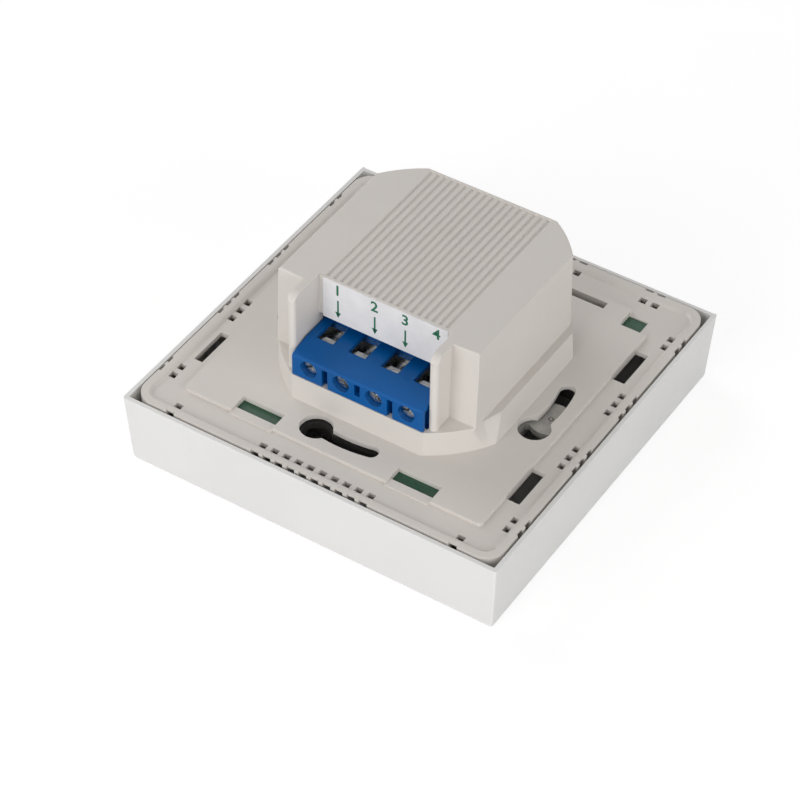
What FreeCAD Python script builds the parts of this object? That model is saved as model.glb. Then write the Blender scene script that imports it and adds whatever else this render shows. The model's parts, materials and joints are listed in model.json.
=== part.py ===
import FreeCAD, Part
import math
import os
import re

import Sketcher
from FreeCAD import Placement, Rotation, Vector

# Flush-mounted microwave motion sensor, modelled lying on its front cover.
# Origin: centre of the cover's front face. +Z points to the wall side, -Y to the terminals.
# Sizes are millimetres unless a comment says otherwise. Mating pieces share the same cells
# plus a clearance, and what sits inside the box is placed from the box's own walls.
SIZES = {
    # front cover
    "cover_side": 86.0,
    "cover_draft": 0.85,
    "cover_height": 16.6,
    "cover_face": 1.6,
    "cover_rim_wall": 0.9,
    "cover_corner": 0.5,
    "cover_inner_corner": 0.3,
    "cover_edge_round": 0.6,
    "cover_gap": 0.5,
    "rib_width": 1.2,
    "rib_reach": 1.6,
    "rib_pitch": 15.0,
    "guide_place": 22.0,
    "guide_height": 3.0,
    "guide_lead": 0.6,
    "guide_clearance": 0.08,
    "window_length": 11.0,
    "window_width": 5.0,
    "window_flange": 0.8,
    "window_clearance": 0.05,
    # rear housing: plate, lip, platform and skirt
    "lip_radius": 4.2,
    "lip_rise": 0.75,
    "lip_flat": 1.5,
    "lip_slope": 0.9,
    "floor_top": 16.2,
    "plate_wall": 1.1,
    "border_width": 7.2,
    "platform_rise": 0.9,
    "platform_wall": 1.2,
    "platform_corner": 1.0,
    "corner_step_x": 6.2,
    "corner_step_y": 5.4,
    "skirt_drop": 2.6,
    "skirt_wall": 1.1,
    # vents in the floor and notches in the lip beside them
    "vent_side": 1.65,
    "vent_pitch": 2.77,
    "vent_inset": 2.8,
    "notch_width": 1.9,
    "notch_bite": 0.45,
    "notch_bite_height": 0.55,
    "notch_reach": 1.5,
    "notch_height": 2.4,
    # keyholes on the circle of the box screws, the turn in degrees to each side
    "screw_circle": 60.0,
    "keyhole_head": 6.8,
    "keyhole_slot": 3.3,
    "keyhole_turn": 12.2,
    # hook windows, measured from the platform's edge
    "hook_length": 9.8,
    "hook_middle": 18.1,
    "hook_depth": 4.45,
    "hook_sill": 1.4,
    "sill_rise": 0.45,
    "sill_proud": 0.6,
    "right_window_reach": 2.85,
    "left_window_near": 1.7,
    "left_window_far": 3.7,
    "back_window_near": 3.1,
    "back_window_far": 1.2,
    "corner_window_x": 4.2,
    "corner_window_y": 3.5,
    # collar, foot and deck
    "collar_round": 0.5,
    "collar_back_round": 1.0,
    "collar_reach": 0.9,
    "collar_side_reach": 2.5,
    "collar_shoulder": 1.1,
    "collar_draft": 0.3,
    "deck_top": 23.0,
    "deck_round": 0.4,
    "deck_back_round": 0.6,
    "ledge_width": 1.75,
    "ledge_start": 15.7,
    "ledge_full": 10.95,
    "collar_side_wall": 1.0,
    # power box, fins and grooves
    "box_top": 41.5,
    "box_round": 5.7,
    "box_round_draft": 0.5,
    "box_half": 22.9,
    "box_side_draft": 0.1,
    "box_back": 24.2,
    "box_wing": 17.5,
    "box_wing_draft": 0.6,
    "box_wall": 1.6,
    "label_wall": 14.75,
    "fin_inside": 15.3,
    "fin_thickness": 1.65,
    "fin_front": 23.3,
    "fin_nose_inner": 0.7,
    "fin_nose_outer": 1.5,
    "fin_top_round": 2.4,
    "terminal_gap_top": 31.4,
    "groove_count": 18,
    "groove_pitch": 1.6,
    "groove_width": 1.05,
    "groove_depth": 0.36,
    "groove_margin": 0.5,
    # posts and pegs inside the housing
    "boss_radius": 2.75,
    "post_gap": 0.35,
    "post_back": 9.6,
    "post_front": 9.8,
    "post_bore": 8.0,
    "peg_radius": 1.5,
    "peg_beside_fin": 3.4,
    "peg_before_label": 4.6,
    # boards
    "board_thickness": 1.6,
    "board_gap": 2.1,
    "board_clearance": 0.2,
    "board_corner": 1.0,
    "board_back_inset": 2.0,
    "tab_reach": 4.2,
    "tab_root": 2.2,
    "tab_foot": 1.0,
    # carrier frame, its keyhole pads and its screws
    "carrier_gap": 0.9,
    "carrier_inset": 0.8,
    "carrier_plate": 1.5,
    "carrier_rib": 2.0,
    "carrier_corner": 2.5,
    "pad_left": 11.2,
    "pad_right": 10.6,
    "pad_inner": 24.9,
    "pad_drop": 0.7,
    "pad_skin": 1.5,
    "pad_wall": 1.2,
    "disc_radius": 4.5,
    "disc_shift": 0.2,
    "disc_reach": 2.7,
    "disc_y": -0.7,
    "disc_mark": 0.6,
    "fixing_half": 25.5,
    "fixing_length": 4.4,
    "fixing_bore": 3.2,
    "screw_radius": 1.0,
    "screw_head_radius": 2.0,
    "screw_head_height": 1.4,
    "cross_width": 0.5,
    "cross_depth": 0.6,
    "cross_share": 0.62,
    "pilot_clearance": 0.05,
    "pass_clearance": 0.15,
    # terminal block
    "pole_pitch": 7.5,
    "pole_count": 4,
    "block_end": 0.1,
    "block_top": 29.3,
    "block_back": 11.3,
    "block_ridge": 19.9,
    "block_front": 24.7,
    "block_lip": 28.15,
    "block_edge": 0.4,
    "block_step": 1.4,
    "block_clearance": 0.05,
    "chamber_width": 5.3,
    "chamber_front": 21.4,
    "chamber_back": 12.3,
    "chamber_top": 28.2,
    "chamber_floor": 1.2,
    "wire_hole_width": 3.95,
    "wire_hole_front": 18.95,
    "well_radius": 1.85,
    "well_floor": 22.4,
    "slit_width": 1.25,
    "slit_top": 27.5,
    "slit_depth": 2.0,
    "slit_middle_rise": 1.7,
    "key_width": 1.0,
    "key_near": 0.9,
    "key_far": 2.6,
    # clamp screws, saddle clamps and contacts
    "clamp_screw_height": 25.95,
    "clamp_screw_radius": 1.1,
    "clamp_head_radius": 1.65,
    "clamp_head_height": 1.5,
    "clamp_slot_width": 0.7,
    "clamp_slot_depth": 0.8,
    "tip_gap": 0.3,
    "cage_back": 12.4,
    "cage_plate": 1.2,
    "cage_length": 5.0,
    "cage_width": 5.2,
    "cage_side_wall": 0.45,
    "cage_height": 6.7,
    "cage_headroom": 0.2,
    "cage_corner": 0.4,
    "cage_clearance": 0.05,
    "contact_front": 17.9,
    "contact_thickness": 1.2,
    "contact_width": 3.7,
    "contact_shoulder": 27.5,
    "tongue_width": 2.4,
    "contact_pin_width": 1.0,
    "contact_pin_thickness": 0.8,
    "contact_pin_end": 1.2,
    # label
    "label_thickness": 0.2,
    "label_side_gap": 1.05,
    "label_top_gap": 0.2,
    # adjusters
    "adjuster_pitch": 12.5,
    "adjuster_line": 17.5,
    "adjuster_side": 9.5,
    "adjuster_height": 4.8,
    "adjuster_corner": 0.7,
    "adjuster_bore": 3.0,
    "knob_radius": 3.2,
    "knob_height": 4.2,
    "knob_stem_radius": 1.2,
    "knob_stem_length": 2.8,
    "knob_slot_width": 1.0,
    "knob_slot_share": 0.7,
    "knob_slot_depth": 1.2,
    "knob_flute_radius": 0.75,
    "knob_flute_out": 0.35,
    "knob_flutes": 12,
    "knob_clearance": 0.05,
    "knob_lift": 0.1,
    # headers
    "pin_pitch": 2.54,
    "pin_radius": 0.32,
    "pin_clearance": 0.02,
    "pin_tail": 0.8,
    "strip_half": 1.25,
    "header_share": -0.338,
    "header_gap": 1.4,
    # radar module
    "module_half_x": 13.0,
    "module_half_y": 10.0,
    "module_y": -4.5,
    "module_pin_y": -13.0,
    "module_thickness": 1.0,
    "module_gap": 2.5,
    "module_corner": 0.6,
    "can_half": 7.5,
    "can_front": 2.5,
    "can_back": 7.5,
    "can_height": 2.0,
    "can_sheet": 0.3,
    "patch_half_x": 6.5,
    "patch_half_y": 6.0,
    "patch_thickness": 0.2,
    "feed_width": 0.8,
    "feed_end": 8.6,
    # light sensor and lamp
    "light_line": 20.5,
    "light_pitch": 6.0,
    "lens_radius": 2.4,
    "lens_barrel": 6.2,
    "lens_flange": 0.4,
    "lens_height": 7.2,
    "lens_hole": 3.2,
    "lens_standoff": 0.8,
    "lead_half_pitch": 1.27,
    "lead_radius": 0.27,
    # parts of the power board: x places and widths are shares of the box's inner half width
    "relay_from": -0.934,
    "relay_to": -0.033,
    "relay_front": 10.6,
    "relay_back": 4.8,
    "relay_height": 15.2,
    "relay_foot": 0.8,
    "relay_corner": 0.5,
    "film_half": 0.4225,
    "film_front": 13.3,
    "film_back": 21.8,
    "film_height": 14.5,
    "film_corner": 0.6,
    "can_place": 0.32,
    "bulk_radius": 0.235,
    "bulk_line": -5.7,
    "bulk_height": 16.0,
    "output_radius": 0.188,
    "output_line": 4.0,
    "output_height": 12.0,
    "drum_place": 0.723,
    "drum_radius": 0.2066,
    "drum_line": -1.0,
    "drum_height": 9.8,
    "drum_flange": 1.3,
    "drum_winding": 0.4,
    "varistor_place": 0.169,
    "varistor_front": 8.6,
    "varistor_thickness": 3.6,
    "varistor_radius": 4.5,
    "varistor_rise": 6.2,
    "varistor_round": 1.2,
    "varistor_lead": 2.0,
    "fuse_to": -0.146,
    "fuse_line": 9.7,
    "fuse_radius": 2.1,
    "fuse_rise": 2.4,
    "fuse_round": 0.6,
    "fuse_gap": 0.55,
    "fuse_lead": 0.95,
    "bridge_from": 0.563,
    "bridge_to": 0.948,
    "bridge_front": 5.6,
    "bridge_back": 11.8,
    "bridge_height": 2.9,
    "bridge_corner": 0.4,
    "bridge_foot": 0.5,
    "bridge_foot_inset": 1.6,
    "bridge_foot_reach": 0.8,
    "part_lift": 0.3,
    "lead_wire_radius": 0.35,
    # chips
    "chip_lift": 0.15,
    "chip_leg_half": 0.2,
    "chip_leg_reach": 0.8,
    "chip_leg_height": 0.8,
    "power_chip_place": 0.61,
    "power_chip_line": 16.0,
    "controller_x": 10.9,
    "controller_line": -10.0,
}

HEADER_PINS = 4
MODULE_PINS = 3
CHIP_LEGS = 4
OVERLAP = "0.1"

doc = FreeCAD.newDocument("motion_sensor")
sheet = doc.addObject("Spreadsheet::Sheet", "Sizes")
for row, (alias, number) in enumerate(SIZES.items(), start=1):
    sheet.set("A%d" % row, alias)
    sheet.set("B%d" % row, str(number))
    sheet.setAlias("B%d" % row, alias)
doc.recompute()

parts = []


def mm(alias):
    """Number held by one cell of the sheet."""
    return float(sheet.get(alias))


def formula(text):
    """Expression on the sheet's cells, from text that uses their bare names."""

    def full(word):
        """Name of a cell with its sheet, or the word as it is."""
        return "Sizes." + word[0] if word[0] in SIZES else word[0]

    return re.sub(r"[a-z][a-z_]*", full, str(text))


def bind(thing, path, text):
    """Tie one property of a document object to the sheet."""
    thing.setExpression(path, formula(text))


def amount(text):
    """Value of an expression on the sheet's cells."""
    return float(str(sheet.evalExpression(str(text))))


def about(middle, half):
    """Pair of expressions at equal distances from a middle."""
    return ("%s - (%s)" % (middle, half), "%s + (%s)" % (middle, half))


def bay(share):
    """Distance from the middle of the box, as a share of its inner half width."""
    return "(%s * (box_half - box_wall))" % share


# Heights and widths that several pieces share, as expressions on the sheet
FLOOR_UNDER = "(floor_top - plate_wall)"
LIP_TOP = "(floor_top + lip_rise)"
PLATFORM_TOP = "(floor_top + platform_rise)"
BOARD_TOP = "(floor_top + platform_rise - platform_wall)"
BOARD_UNDER = "(%s - board_thickness)" % BOARD_TOP
POWER_UNDER = "(%s + board_gap)" % BOARD_TOP
POWER_TOP = "(%s + board_gap + board_thickness)" % BOARD_TOP
SKIRT_END = "(floor_top - plate_wall - skirt_drop)"
CARRIER_TOP = "(%s - carrier_gap)" % BOARD_UNDER
CARRIER_UNDER = "(%s - carrier_gap - carrier_plate)" % BOARD_UNDER
PAD_TOP = "(%s - pad_drop)" % BOARD_TOP
LIP_HALF = "(cover_side / 2 - cover_rim_wall - cover_gap)"
PLATFORM_HALF = "(%s - border_width)" % LIP_HALF
STEP_X = "(%s - corner_step_x)" % PLATFORM_HALF
STEP_Y = "(%s - corner_step_y)" % PLATFORM_HALF
VENT_LINE = "(%s - vent_inset)" % LIP_HALF
BOX_RADIUS = "(box_half + box_round)"
DECK_RADIUS = "(%s + deck_round)" % BOX_RADIUS
COLLAR_HALF = "(box_back + collar_reach)"
ROOM_SIDE = "(box_half - collar_side_wall)"
DISC_X = "(screw_circle / 2 - disc_shift)"
BLOCK_HALF = "(pole_pitch * pole_count / 2 + block_end)"
HEADER_X = bay("header_share")
HEADER_Y = "(relay_back + header_gap)"
POST_X = "(box_half - box_wall - boss_radius - post_gap)"
MODULE_TOP = "(%s - module_gap)" % BOARD_UNDER
MODULE_UNDER = "(%s - module_thickness)" % MODULE_TOP
ADJUSTER_UNDER = "(%s - adjuster_height)" % BOARD_UNDER

# Screw posts of the power board and fixing places of the carrier
POWER_POSTS = (("-" + POST_X, "post_back"), (POST_X, "-post_front"))
FIXINGS = [(x, y) for x in ("-fixing_half", "fixing_half") for y in ("-fixing_half", "fixing_half")]
ADJUSTER_X = ("-adjuster_pitch", "0", "adjuster_pitch")

# Groups of vents along each side: side, middle as a share of their line, number in it
VENT_GROUPS = (
    ("front", -0.84, 1), ("front", 0.0, 10), ("front", 0.84, 1),
    ("right", -0.786, 2), ("right", -0.23, 3), ("right", 0.23, 3), ("right", 0.778, 2),
    ("back", -0.76, 2), ("back", 0.0, 10), ("back", 0.76, 2),
    ("left", -0.786, 2), ("left", -0.23, 3), ("left", 0.23, 3), ("left", 0.778, 2),
)


def finished(thing, name):
    """Name a sub-part and keep it for the output."""
    thing.Label = name
    parts.append(thing)
    return thing


def new_body(name):
    """Empty body for one sub-part."""
    body = doc.addObject("PartDesign::Body", name + "_body")
    return finished(body, name)


def datum(body, role):
    """One of the body's own origin planes or axes."""
    return [feature for feature in body.Origin.OriginFeatures if feature.Role == role][0]


def sketch_on(body, offset, role="XY_Plane"):
    """Sketch on an origin plane, shifted along the plane's normal."""
    sketch = body.newObject("Sketcher::SketchObject", "Outline")
    sketch.AttachmentSupport = [(datum(body, role), "")]
    sketch.MapMode = "FlatFace"
    bind(sketch, "AttachmentOffset.Base.z", offset)
    return sketch


def tie_point(sketch, geometry, vertex, places):
    """Tie the x and y of one point of a sketch to the sheet."""
    for kind, text in zip(("DistanceX", "DistanceY"), places):
        if text is None:
            continue
        rule = Sketcher.Constraint(kind, -1, 1, geometry, vertex, amount(text))
        bind(sketch, "Constraints[%d]" % sketch.addConstraint(rule), text)


def add_rectangle(sketch, across, along):
    """Rectangle between two pairs of expressions, its four sides tied to the sheet."""
    x0, x1, y0, y1 = (amount(text) for text in across + along)
    corners = [Vector(x0, y0, 0), Vector(x1, y0, 0), Vector(x1, y1, 0), Vector(x0, y1, 0)]
    first = sketch.GeometryCount
    for k in range(4):
        sketch.addGeometry(Part.LineSegment(corners[k], corners[(k + 1) % 4]), False)
    for k in range(4):
        sketch.addConstraint(Sketcher.Constraint("Coincident", first + k, 2, first + (k + 1) % 4, 1))
    for k in (0, 2):
        sketch.addConstraint(Sketcher.Constraint("Horizontal", first + k))
        sketch.addConstraint(Sketcher.Constraint("Vertical", first + k + 1))
    tie_point(sketch, first, 1, (across[0], along[0]))
    tie_point(sketch, first + 2, 1, (across[1], along[1]))


def add_circle(sketch, x, y, radius):
    """Circle whose centre and radius are tied to the sheet."""
    cx, cy, r = (amount(text) for text in (x, y, radius))
    ring = sketch.addGeometry(Part.Circle(Vector(cx, cy, 0), Vector(0, 0, 1), r), False)
    tie_point(sketch, ring, 3, (x, y))
    bind(sketch, "Constraints[%d]" % sketch.addConstraint(Sketcher.Constraint("Radius", ring, r)), radius)


def add_path(sketch, start, steps):
    """Closed outline: each step is a point, or a pair (mid point, end point) for an arc."""
    here = start
    for step in steps + [start]:
        if isinstance(step[0], tuple):
            middle, end = step
            sketch.addGeometry(Part.Arc(Vector(*here, 0), Vector(*middle, 0), Vector(*end, 0)), False)
            here = end
        elif math.dist(here, step) > 1e-6:
            sketch.addGeometry(Part.LineSegment(Vector(*here, 0), Vector(*step, 0)), False)
            here = step


def add_rounded(sketch, half_x, half_y, radius):
    """Rounded rectangle about the sketch's origin, from numbers."""
    corner = radius * (1 - math.sqrt(0.5))
    a, b = half_x - radius, half_y - radius
    c, d = half_x - corner, half_y - corner
    steps = [(a, -half_y), ((c, -d), (half_x, -b)), (half_x, b), ((c, d), (a, half_y))]
    steps += [(-a, half_y), ((-c, d), (-half_x, b)), (-half_x, -b), ((-c, -d), (-a, -half_y))]
    add_path(sketch, (-a, -half_y), steps)


def add_long_hole(sketch, half_x, half_y, y):
    """Long hole with round ends, centred on x = 0 at a height y of the sketch."""
    a, b, c = amount(half_x), amount(half_y), amount(y)
    steps = [(a - b, c - b), ((a, c), (a - b, c + b)), (b - a, c + b), ((-a, c), (b - a, c - b))]
    add_path(sketch, (b - a, c - b), steps)


def add_plain_circle(sketch, x, y, radius):
    """Circle from numbers."""
    sketch.addGeometry(Part.Circle(Vector(x, y, 0), Vector(0, 0, 1), radius), False)


def extrude(body, kind, sketch, length, upward=True):
    """Pad or pocket of a sketch. A pocket runs down from its sketch unless upward is set."""
    doc.recompute()
    feature = body.newObject("PartDesign::" + kind, kind)
    feature.Profile = sketch
    bind(feature, "Length", length)
    feature.Reversed = (kind == "Pad") != upward
    doc.recompute()
    return feature


def pad(body, sketch, length):
    """Add material upwards from the sketch."""
    return extrude(body, "Pad", sketch, length, True)


def pocket(body, sketch, length, upward=False):
    """Cut material downwards from the sketch, or upwards."""
    return extrude(body, "Pocket", sketch, length, upward)


def loft(body, kind, low, high):
    """Straight-walled loft between two outlines of the same make-up."""
    doc.recompute()
    feature = body.newObject("PartDesign::" + kind, kind)
    feature.Profile = low
    feature.Sections = [high]
    feature.Ruled = True
    doc.recompute()
    return feature


def ring_pattern(body, features, count, angle=360, backwards=False):
    """Repeat features about the vertical axis."""
    pattern = body.newObject("PartDesign::PolarPattern", "Turned")
    pattern.Originals = features
    pattern.Axis = (datum(body, "Z_Axis"), [""])
    pattern.Angle = angle
    pattern.Occurrences = count
    pattern.Reversed = backwards
    body.Tip = pattern
    doc.recompute()
    return pattern


def spun(body, points):
    """Turned solid about the vertical axis from (radius, height) points and arcs."""
    sketch = sketch_on(body, "0", "XZ_Plane")
    add_path(sketch, points[0], points[1:])
    doc.recompute()
    turn = body.newObject("PartDesign::Revolution", "Turned")
    turn.Profile = sketch
    turn.ReferenceAxis = (sketch, ["V_Axis"])
    turn.Angle = 360
    doc.recompute()
    return turn


def put_at(thing, x, y, z):
    """Tie the place of a piece to the sheet."""
    for axis, text in zip("xyz", (x, y, z)):
        bind(thing, "Placement.Base." + axis, text)


def block(across, along, upright_span):
    """Box primitive between three pairs of expressions."""
    solid = doc.addObject("Part::Box", "Block")
    for prop, (low, high) in zip(("Length", "Width", "Height"), (across, along, upright_span)):
        bind(solid, prop, "(%s) - (%s)" % (high, low))
    put_at(solid, across[0], along[0], upright_span[0])
    return solid


def rod(x, y, span, radius):
    """Upright cylinder primitive between two heights."""
    solid = doc.addObject("Part::Cylinder", "Rod")
    bind(solid, "Radius", radius)
    bind(solid, "Height", "(%s) - (%s)" % (span[1], span[0]))
    put_at(solid, x, y, span[0])
    return solid


def level_rod(start, length, radius, along):
    """Lying cylinder primitive that starts at a point and runs along +X or +Y."""
    turns = {"x": Rotation(Vector(0, 1, 0), 90), "y": Rotation(Vector(1, 0, 0), -90)}
    solid = doc.addObject("Part::Cylinder", "Rod")
    bind(solid, "Radius", radius)
    bind(solid, "Height", length)
    solid.Placement = Placement(Vector(0, 0, 0), turns[along])
    put_at(solid, *start)
    return solid


def fuse(solids):
    """Union of primitives."""
    joined = doc.addObject("Part::MultiFuse", "Joined")
    joined.Shapes = solids
    joined.Refine = True
    return joined


def cut(base, tools):
    """Base without the tools."""
    result = doc.addObject("Part::Cut", "Cut")
    result.Base = base
    result.Tool = tools[0] if len(tools) == 1 else fuse(tools)
    result.Refine = True
    return result


def group(solids, name):
    """Identical separate solids in one sub-part."""
    together = doc.addObject("Part::Compound", "Group")
    together.Links = solids
    return finished(together, name)


def round_edges(base, radius, test):
    """Fillet on the edges of a primitive or boolean that pass a test."""
    doc.recompute()
    picked = [k + 1 for k, edge in enumerate(base.Shape.Edges) if test(edge)]
    rounded = doc.addObject("Part::Fillet", "Rounded")
    rounded.Base = base
    rounded.Edges = [(k, amount(radius), amount(radius)) for k in picked]
    doc.recompute()
    return rounded


def upright(edge):
    """True for a straight vertical edge."""
    a, b = edge.Vertexes[0].Point, edge.Vertexes[-1].Point
    return len(edge.Vertexes) == 2 and math.hypot(a.x - b.x, a.y - b.y) < 1e-4 and abs(a.z - b.z) > 0.05


def at_height(text):
    """Test for edges that lie in one level plane."""
    z = amount(text)
    return lambda edge: abs(edge.BoundBox.ZMin - z) < 1e-3 and abs(edge.BoundBox.ZMax - z) < 1e-3


def box_edges(top):
    """Test for the upright edges of a case and those round its top."""
    level = at_height(top)
    return lambda edge: upright(edge) or level(edge)


def closed_ring(edge):
    """True for a full circle."""
    return len(edge.Vertexes) == 1


def on_circle(radius, degrees):
    """Point at an angle on a circle about the vertical axis."""
    angle = math.radians(degrees)
    return (radius * math.cos(angle), radius * math.sin(angle))


def leg_of(radius, other):
    """Second coordinate of a point on a circle about the origin."""
    return math.sqrt(radius ** 2 - other ** 2)


def bulge(radius, a, b):
    """Point of a circle about the origin half-way between two others."""
    x, y = a[0] + b[0], a[1] + b[1]
    return (x * radius / math.hypot(x, y), y * radius / math.hypot(x, y))


def mirrored(point):
    """Point on the other side of the Y axis."""
    return (-point[0], point[1])


def flattened_circle(sketch, radius, side, half):
    """Circle with two side flats and with flats at the front and back."""
    flat_x, flat_y = leg_of(radius, half), leg_of(radius, side)
    ring = [(flat_x, -half), (side, -flat_y), (side, flat_y), (flat_x, half)]
    ring += [mirrored(point) for point in reversed(ring)]
    steps = []
    for k in range(1, 8):
        steps.append((bulge(radius, ring[k - 1], ring[k]), ring[k]) if k % 2 else ring[k])
    add_path(sketch, ring[0], steps)


def collar_outline(sketch, front_radius, back_radius, half, shoulder, side):
    """Plan of the collar: round front corners that end in a shoulder, flat sides and a round back."""
    front = (leg_of(front_radius, half), -half)
    rear_side = (side, leg_of(back_radius, side))
    rear = (leg_of(back_radius, half), half)
    steps = [front, (bulge(front_radius, front, shoulder[0]), shoulder[0]), shoulder[1], shoulder[2]]
    steps += [rear_side, (bulge(back_radius, rear_side, rear), rear), mirrored(rear)]
    steps += [(bulge(back_radius, mirrored(rear), mirrored(rear_side)), mirrored(rear_side))]
    steps += [mirrored(shoulder[2]), mirrored(shoulder[1]), mirrored(shoulder[0])]
    steps += [(bulge(front_radius, mirrored(shoulder[0]), mirrored(front)), mirrored(front))]
    add_path(sketch, mirrored(front), steps)


def power_box_outline(sketch, radius, half, wing):
    """Plan of the power box: rounded back, two front wings and the two terminal fins."""
    back, wall = mm("box_back"), mm("label_wall")
    inside, outside = mm("fin_inside"), mm("fin_inside") + mm("fin_thickness")
    inner_nose, tip = (inside, -mm("fin_front") + mm("fin_nose_inner")), -mm("fin_front")
    outer_nose = (outside, tip + mm("fin_nose_outer"))
    nose = ((inside + outside) / 2 - mm("fin_nose_inner") / 4, tip)
    side, rear = (half, leg_of(radius, half)), (leg_of(radius, back), back)
    right = [inner_nose, (nose, outer_nose), (outside, -wing), (half, -wing), side]
    right.append((bulge(radius, side, rear), rear))
    left = [mirrored(rear), (bulge(radius, mirrored(rear), mirrored(side)), mirrored(side))]
    left += [(-half, -wing), (-outside, -wing), mirrored(outer_nose), (mirrored(nose), mirrored(inner_nose))]
    add_path(sketch, (-inside, -wall), [(inside, -wall)] + right + left)


def power_box_cavity(sketch):
    """Plan of the hollow inside the power box."""
    wall = mm("box_wall")
    radius, back, half = amount(BOX_RADIUS) - wall, mm("box_back") - wall, mm("box_half") - wall
    front, outside = mm("label_wall") - wall, mm("fin_inside") + mm("fin_thickness")
    wing = mm("box_wing") - wall
    side, rear = (half, leg_of(radius, half)), (leg_of(radius, back), back)
    steps = [(outside, -front), (outside, -wing), (half, -wing), side, (bulge(radius, side, rear), rear)]
    steps += [mirrored(rear), (bulge(radius, mirrored(rear), mirrored(side)), mirrored(side))]
    steps += [(-half, -wing), (-outside, -wing)]
    add_path(sketch, (-outside, -front), steps)


def keyhole_outline(sketch, head_radius, slot_width):
    """Head hole with a slot that follows the circle of the box screws."""
    radius, turn = mm("screw_circle") / 2, mm("keyhole_turn")
    head, end = -90 - turn, -90 + turn

    def meeting(track):
        """Angle at which a track of the slot leaves the head hole."""
        cosine = (track ** 2 + radius ** 2 - head_radius ** 2) / (2 * track * radius)
        return head + math.degrees(math.acos(cosine))

    outer, inner = radius + slot_width / 2, radius - slot_width / 2
    cap = math.degrees(slot_width / 2 / radius)
    start = on_circle(outer, meeting(outer))
    steps = [(on_circle(outer, (meeting(outer) + end) / 2), on_circle(outer, end))]
    steps.append((on_circle(radius, end + cap), on_circle(inner, end)))
    steps.append((on_circle(inner, (meeting(inner) + end) / 2), on_circle(inner, meeting(inner))))
    centre, back = on_circle(radius, head), on_circle(head_radius, head + 90)
    steps.append(((centre[0] - back[0], centre[1] - back[1]), start))
    add_path(sketch, start, steps)


def vent_places():
    """Side and position along it of every vent."""
    for side, share, count in VENT_GROUPS:
        for k in range(count):
            yield side, "%g * %s + (%g) * vent_pitch" % (share, VENT_LINE, k - (count - 1) / 2)


def side_limits(side, along, span, near, far):
    """Two pairs of expressions for a rectangle on one of the four sides."""
    spread = about(along, "(%s) / 2" % span)
    outward, inward = (near, far), ("-(%s)" % far, "-(%s)" % near)
    return {"front": (spread, inward), "back": (spread, outward),
            "right": (outward, spread), "left": (inward, spread)}[side]


def across_side(sketch, side, along, span, near, far):
    """Rectangle tied to the sheet, from its place along a side and its distances from the middle."""
    add_rectangle(sketch, *side_limits(side, along, span, near, far))


def small_hole(sketch, side, along, span, near, far):
    """The same as plain lines, for outlines that repeat many times in one sketch."""
    limits = side_limits(side, along, span, near, far)
    (x0, x1), (y0, y1) = [[amount(text) for text in pair] for pair in limits]
    add_path(sketch, (x0, y0), [(x1, y0), (x1, y1), (x0, y1)])


def platform_outline(sketch, inset):
    """Raised middle of the plate with its stepped corner, drawn inset from the riser."""
    half, r = amount(PLATFORM_HALF) - inset, mm("platform_corner")
    nx, ny = amount(STEP_X) - inset, amount(STEP_Y) - inset
    c = r * (1 - math.sqrt(0.5))
    steps = [(half - r, -half), ((half - c, -half + c), (half, -half + r)), (half, ny), (nx, ny), (nx, half)]
    steps += [(-half + r, half), ((-half + c, half - c), (-half, half - r)), (-half, -half + r)]
    steps += [((-half + c, -half + c), (-half + r, -half))]
    add_path(sketch, (-half + r, -half), steps)


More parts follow.
